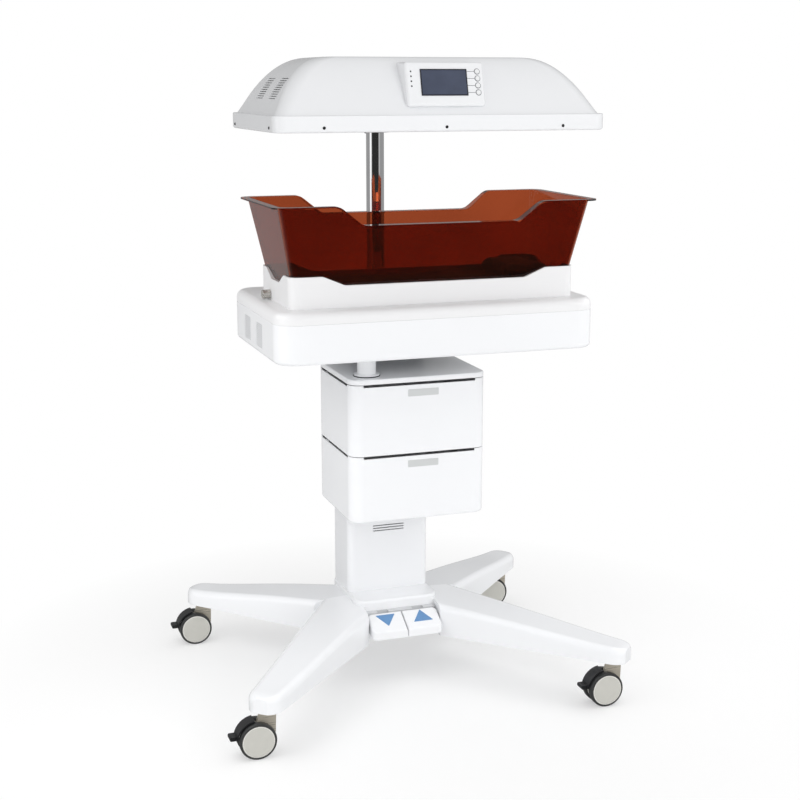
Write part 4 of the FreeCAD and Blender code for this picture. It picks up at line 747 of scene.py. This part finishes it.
# Control pod: key rings, leader lines, screen frame and indicator lenses on the tilted plate
POD_TILT = math.radians(15)
ALONG = Vector((1, 0, 0))
DEPTH = Vector((0, 1, 0))
UP = Vector((0, 0, 1))
PLATE_UP = Vector((0, math.sin(POD_TILT), math.cos(POD_TILT)))
PLATE_OUT = ALONG.cross(PLATE_UP)
KEY_COUNT = 4
KEY_SINK = 0.6 * MM
SCREEN_SINK = 0.3 * MM
SCREEN_WIDTH = 126 * MM
SCREEN_HEIGHT = 68 * MM
SCREEN_PROUD = 1.4 * MM
SCREEN_BORDER = 3 * MM
RING_INNER = 6.6 * MM
RING_OUTER = 7.8 * MM
PRINT_HEIGHT = 0.25 * MM
PRINT_BEVEL = 0.08 * MM
LINE_WIDTH = 1.1 * MM
LED_RADIUS = 2.2 * MM
LED_ALONG = -91.5 * MM
LED_RISES = (28 * MM, 15.5 * MM, 3 * MM, -9.5 * MM)
DOME_TURNS = (0, 0.35, 0.7, 1.05, 1.4)


def screen_seat():
    return centre_of("panel_screen") + PLATE_OUT * SCREEN_SINK


def add_key_print():
    """A ring round each key, with a line that leads to it from the screen."""
    line_start = screen_seat().x + SCREEN_WIDTH / 2
    for number in range(1, KEY_COUNT + 1):
        key = centre_of(f"panel_key_{number}") + PLATE_OUT * KEY_SINK
        add_ring(f"key_ring_{number}", RING_INNER, RING_OUTER, PRINT_HEIGHT, key, PLATE_OUT, print_ink,
                 "hood")
        line_end = key.x - RING_OUTER
        middle = Vector(((line_start + line_end) / 2, key.y, key.z))
        add_plate(f"key_line_{number}", rectangle(line_end - line_start, LINE_WIDTH), PRINT_BEVEL,
                  PRINT_HEIGHT, PRINT_BEVEL, middle, ALONG, PLATE_UP, print_ink, "hood")


def add_indicators():
    dome = [(LED_RADIUS * math.cos(turn), LED_RADIUS / 2 * math.sin(turn)) for turn in DOME_TURNS]
    for number, rise in enumerate(LED_RISES, 1):
        place = screen_seat() + PLATE_UP * rise
        place.x = centre_of("panel_housing").x + LED_ALONG
        add_turned(f"indicator_{number}", dome, place, PLATE_OUT, led_lens, "hood")


def add_screen_border():
    face = screen_seat() + PLATE_OUT * SCREEN_PROUD
    upper = PLATE_UP * (SCREEN_HEIGHT - SCREEN_BORDER) / 2
    outer = ALONG * (SCREEN_WIDTH - SCREEN_BORDER) / 2
    side_height = SCREEN_HEIGHT - 2 * SCREEN_BORDER
    rails = {
        "low": (-upper, SCREEN_WIDTH, SCREEN_BORDER),
        "high": (upper, SCREEN_WIDTH, SCREEN_BORDER),
        "left": (-outer, SCREEN_BORDER, side_height),
        "right": (outer, SCREEN_BORDER, side_height),
    }
    for side, (offset, width, height) in rails.items():
        add_plate(f"screen_border_{side}", rectangle(width, height), PRINT_BEVEL, PRINT_HEIGHT, PRINT_BEVEL,
                  face + offset, ALONG, PLATE_UP, frame_ink, "hood")


# Foot pedals: a blue arrow inlaid in each sloping tread
TREAD_FRONT = Vector((0, -98 * MM, 163 * MM))
TREAD_BACK = Vector((0, -29 * MM, 201 * MM))
ARROW_HALF = 30 * MM
ARROW_DEPTH = 44 * MM
ARROW_CORNER = 3 * MM
ARROW_HEIGHT = 0.4 * MM
ARROW_BEVEL = 0.2 * MM
ARROW_PLACES = (("down_pedal", "pedal_down", -1, 0.55), ("up_pedal", "pedal_up", 1, 0.6))


def add_arrows():
    """Each arrow lies at its share of the way up the tread and points down it (-1) or up it (1)."""
    uphill = (TREAD_BACK - TREAD_FRONT).normalized()
    for body, node, sign, share in ARROW_PLACES:
        base, tip = -sign * ARROW_DEPTH / 2, sign * ARROW_DEPTH / 2
        place = TREAD_FRONT.lerp(TREAD_BACK, share)
        place.x = centre_of(node).x
        add_plate(f"arrow_{body}", [(-ARROW_HALF, base), (ARROW_HALF, base), (0, tip)], ARROW_CORNER,
                  ARROW_HEIGHT, ARROW_BEVEL, place, ALONG, uphill, arrow_ink, body)


# Drawers: a blank plate on each front
LABEL_WIDTH = 90 * MM
LABEL_TALL = 20 * MM
LABEL_ALONG = 10 * MM
LABEL_DROP = 28 * MM
LABEL_CORNER = 2 * MM
LABEL_HEIGHT = 0.6 * MM
LABEL_BEVEL = 0.3 * MM


def add_labels():
    for body, node in (("upper_drawer", "drawer_upper"), ("lower_drawer", "drawer_lower")):
        low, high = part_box(node)
        place = Vector((LABEL_ALONG, low.y, high.z - LABEL_DROP))
        add_plate(f"label_{body}", rectangle(LABEL_WIDTH, LABEL_TALL), LABEL_CORNER, LABEL_HEIGHT,
                  LABEL_BEVEL, place, ALONG, UP, label_plate, body)


# Hood screws: round heads with a socket, in place of the plain ones
SCREW_RADIUS = 4 * MM
SCREW_HEAD = 2.5 * MM
SCREW_PITCH = 323 * MM
SOCKET_RADIUS = 1.6 * MM
SOCKET_DEPTH = 1.2 * MM
BOWL_TURNS = (0, 0.3, 0.6, 0.9, 1.15)


def add_screws():
    low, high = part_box("hood_screws")
    middle = centre_of("hood_pan")
    level = (low.z + high.z) / 2
    end_reach = high.y - SCREW_RADIUS - middle.y
    places = []
    for step in (-1, 0, 1):
        places.append((Vector((step * SCREW_PITCH, low.y + SCREW_HEAD, level)), -DEPTH))
    for sign, edge in ((-1, low.x + SCREW_HEAD), (1, high.x - SCREW_HEAD)):
        for step in (-1, 1):
            places.append((Vector((edge, middle.y + step * end_reach, level)), sign * ALONG))
    head = [(SCREW_RADIUS * math.cos(turn), SCREW_HEAD * math.sin(turn)) for turn in BOWL_TURNS]
    head += [(SOCKET_RADIUS, head[-1][1]), (SOCKET_RADIUS, SCREW_HEAD - SOCKET_DEPTH)]
    for number, (place, out) in enumerate(places, 1):
        screw = add_turned(f"hood_screw_{number}", head, place, out, finishes["black_plastic"], "hood")
        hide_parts("hood_screws")


# Vents: a dust screen close behind the slits of hood and deck, paler behind the hood as painted light and
# darker behind the deck as painted shade
MESH_LENGTH = 212 * MM
MESH_THICKNESS = 0.6 * MM
MESH_CORNER = 2 * MM
MESH_BEVEL = 0.08 * MM
HOOD_MESH_LOW = Vector((28 * MM, 0, 36 * MM))
HOOD_MESH_HIGH = Vector((71.5 * MM, 0, 96 * MM))
HOOD_VENT_SETBACK = 218 * MM
DECK_MESH_LOW = Vector((8 * MM, 0, 16 * MM))
DECK_MESH_HIGH = Vector((8 * MM, 0, 88 * MM))
DECK_VENT_SETBACK = 277 * MM


def add_vent_screens():
    """Each screen runs from foot to head behind its slits, measured from the shell's left lower corner."""
    vents = {
        "hood": ("hood_shell", "hood_pan", HOOD_MESH_LOW, HOOD_MESH_HIGH, HOOD_VENT_SETBACK, "hood"),
        "deck": ("deck_lower_shell", "deck_lower_shell", DECK_MESH_LOW, DECK_MESH_HIGH,
                 DECK_VENT_SETBACK, "lift"),
    }
    for name, (shell, front, foot, head, setback, body) in vents.items():
        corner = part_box(shell)[0]
        slant = head - foot
        place = corner + (foot + head) / 2
        place.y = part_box(front)[0].y + setback
        # each screen takes its copy with painted light or painted shade
        add_plate(f"vent_screen_{name}", rectangle(MESH_LENGTH, slant.length), MESH_CORNER,
                  MESH_THICKNESS, MESH_BEVEL, place, -DEPTH, slant.normalized(), vent_mesh_light_and_shade[name], body)


# Conduit post: a dark ring round its foot, painted shadow where the post stands
FOOT_SHADOW_INNER = 35.5 * MM
FOOT_SHADOW_OUTER = 38 * MM
FOOT_SHADOW_HEIGHT = 2.5 * MM


def add_foot_shadow():
    foot = centre_of("support_post")
    foot.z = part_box("support_post")[0].z
    # a thin dark ring that paints the shadow round the post's foot
    add_ring("conduit_foot_shadow", FOOT_SHADOW_INNER, FOOT_SHADOW_OUTER, FOOT_SHADOW_HEIGHT, foot, UP, painted_foot_shadow, "lift")


# Mains inlet: three blades in its socket
BLADE_SIZE = (2 * MM, 6 * MM)
BLADE_PLACES = ((-7 * MM, -2 * MM), (7 * MM, -2 * MM), (0.0, 3 * MM))
BLADE_LENGTH = 11 * MM
BLADE_BEVEL = 0.5 * MM
SOCKET_FLOOR = 20 * MM


def add_blades():
    inlet = centre_of("power_inlet")
    floor_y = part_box("power_inlet")[1].y - SOCKET_FLOOR
    for number, (x, z) in enumerate(BLADE_PLACES, 1):
        place = Vector((inlet.x + x, floor_y, inlet.z + z))
        add_plate(f"inlet_blade_{number}", rectangle(*BLADE_SIZE), BLADE_BEVEL, BLADE_LENGTH, BLADE_BEVEL,
                  place, -ALONG, UP, finishes["steel"], "lift")


add_camera()
add_stage()
add_pads()
add_key_print()
add_indicators()
add_screen_border()
add_arrows()
add_labels()
add_screws()
add_vent_screens()
add_foot_shadow()
add_blades()
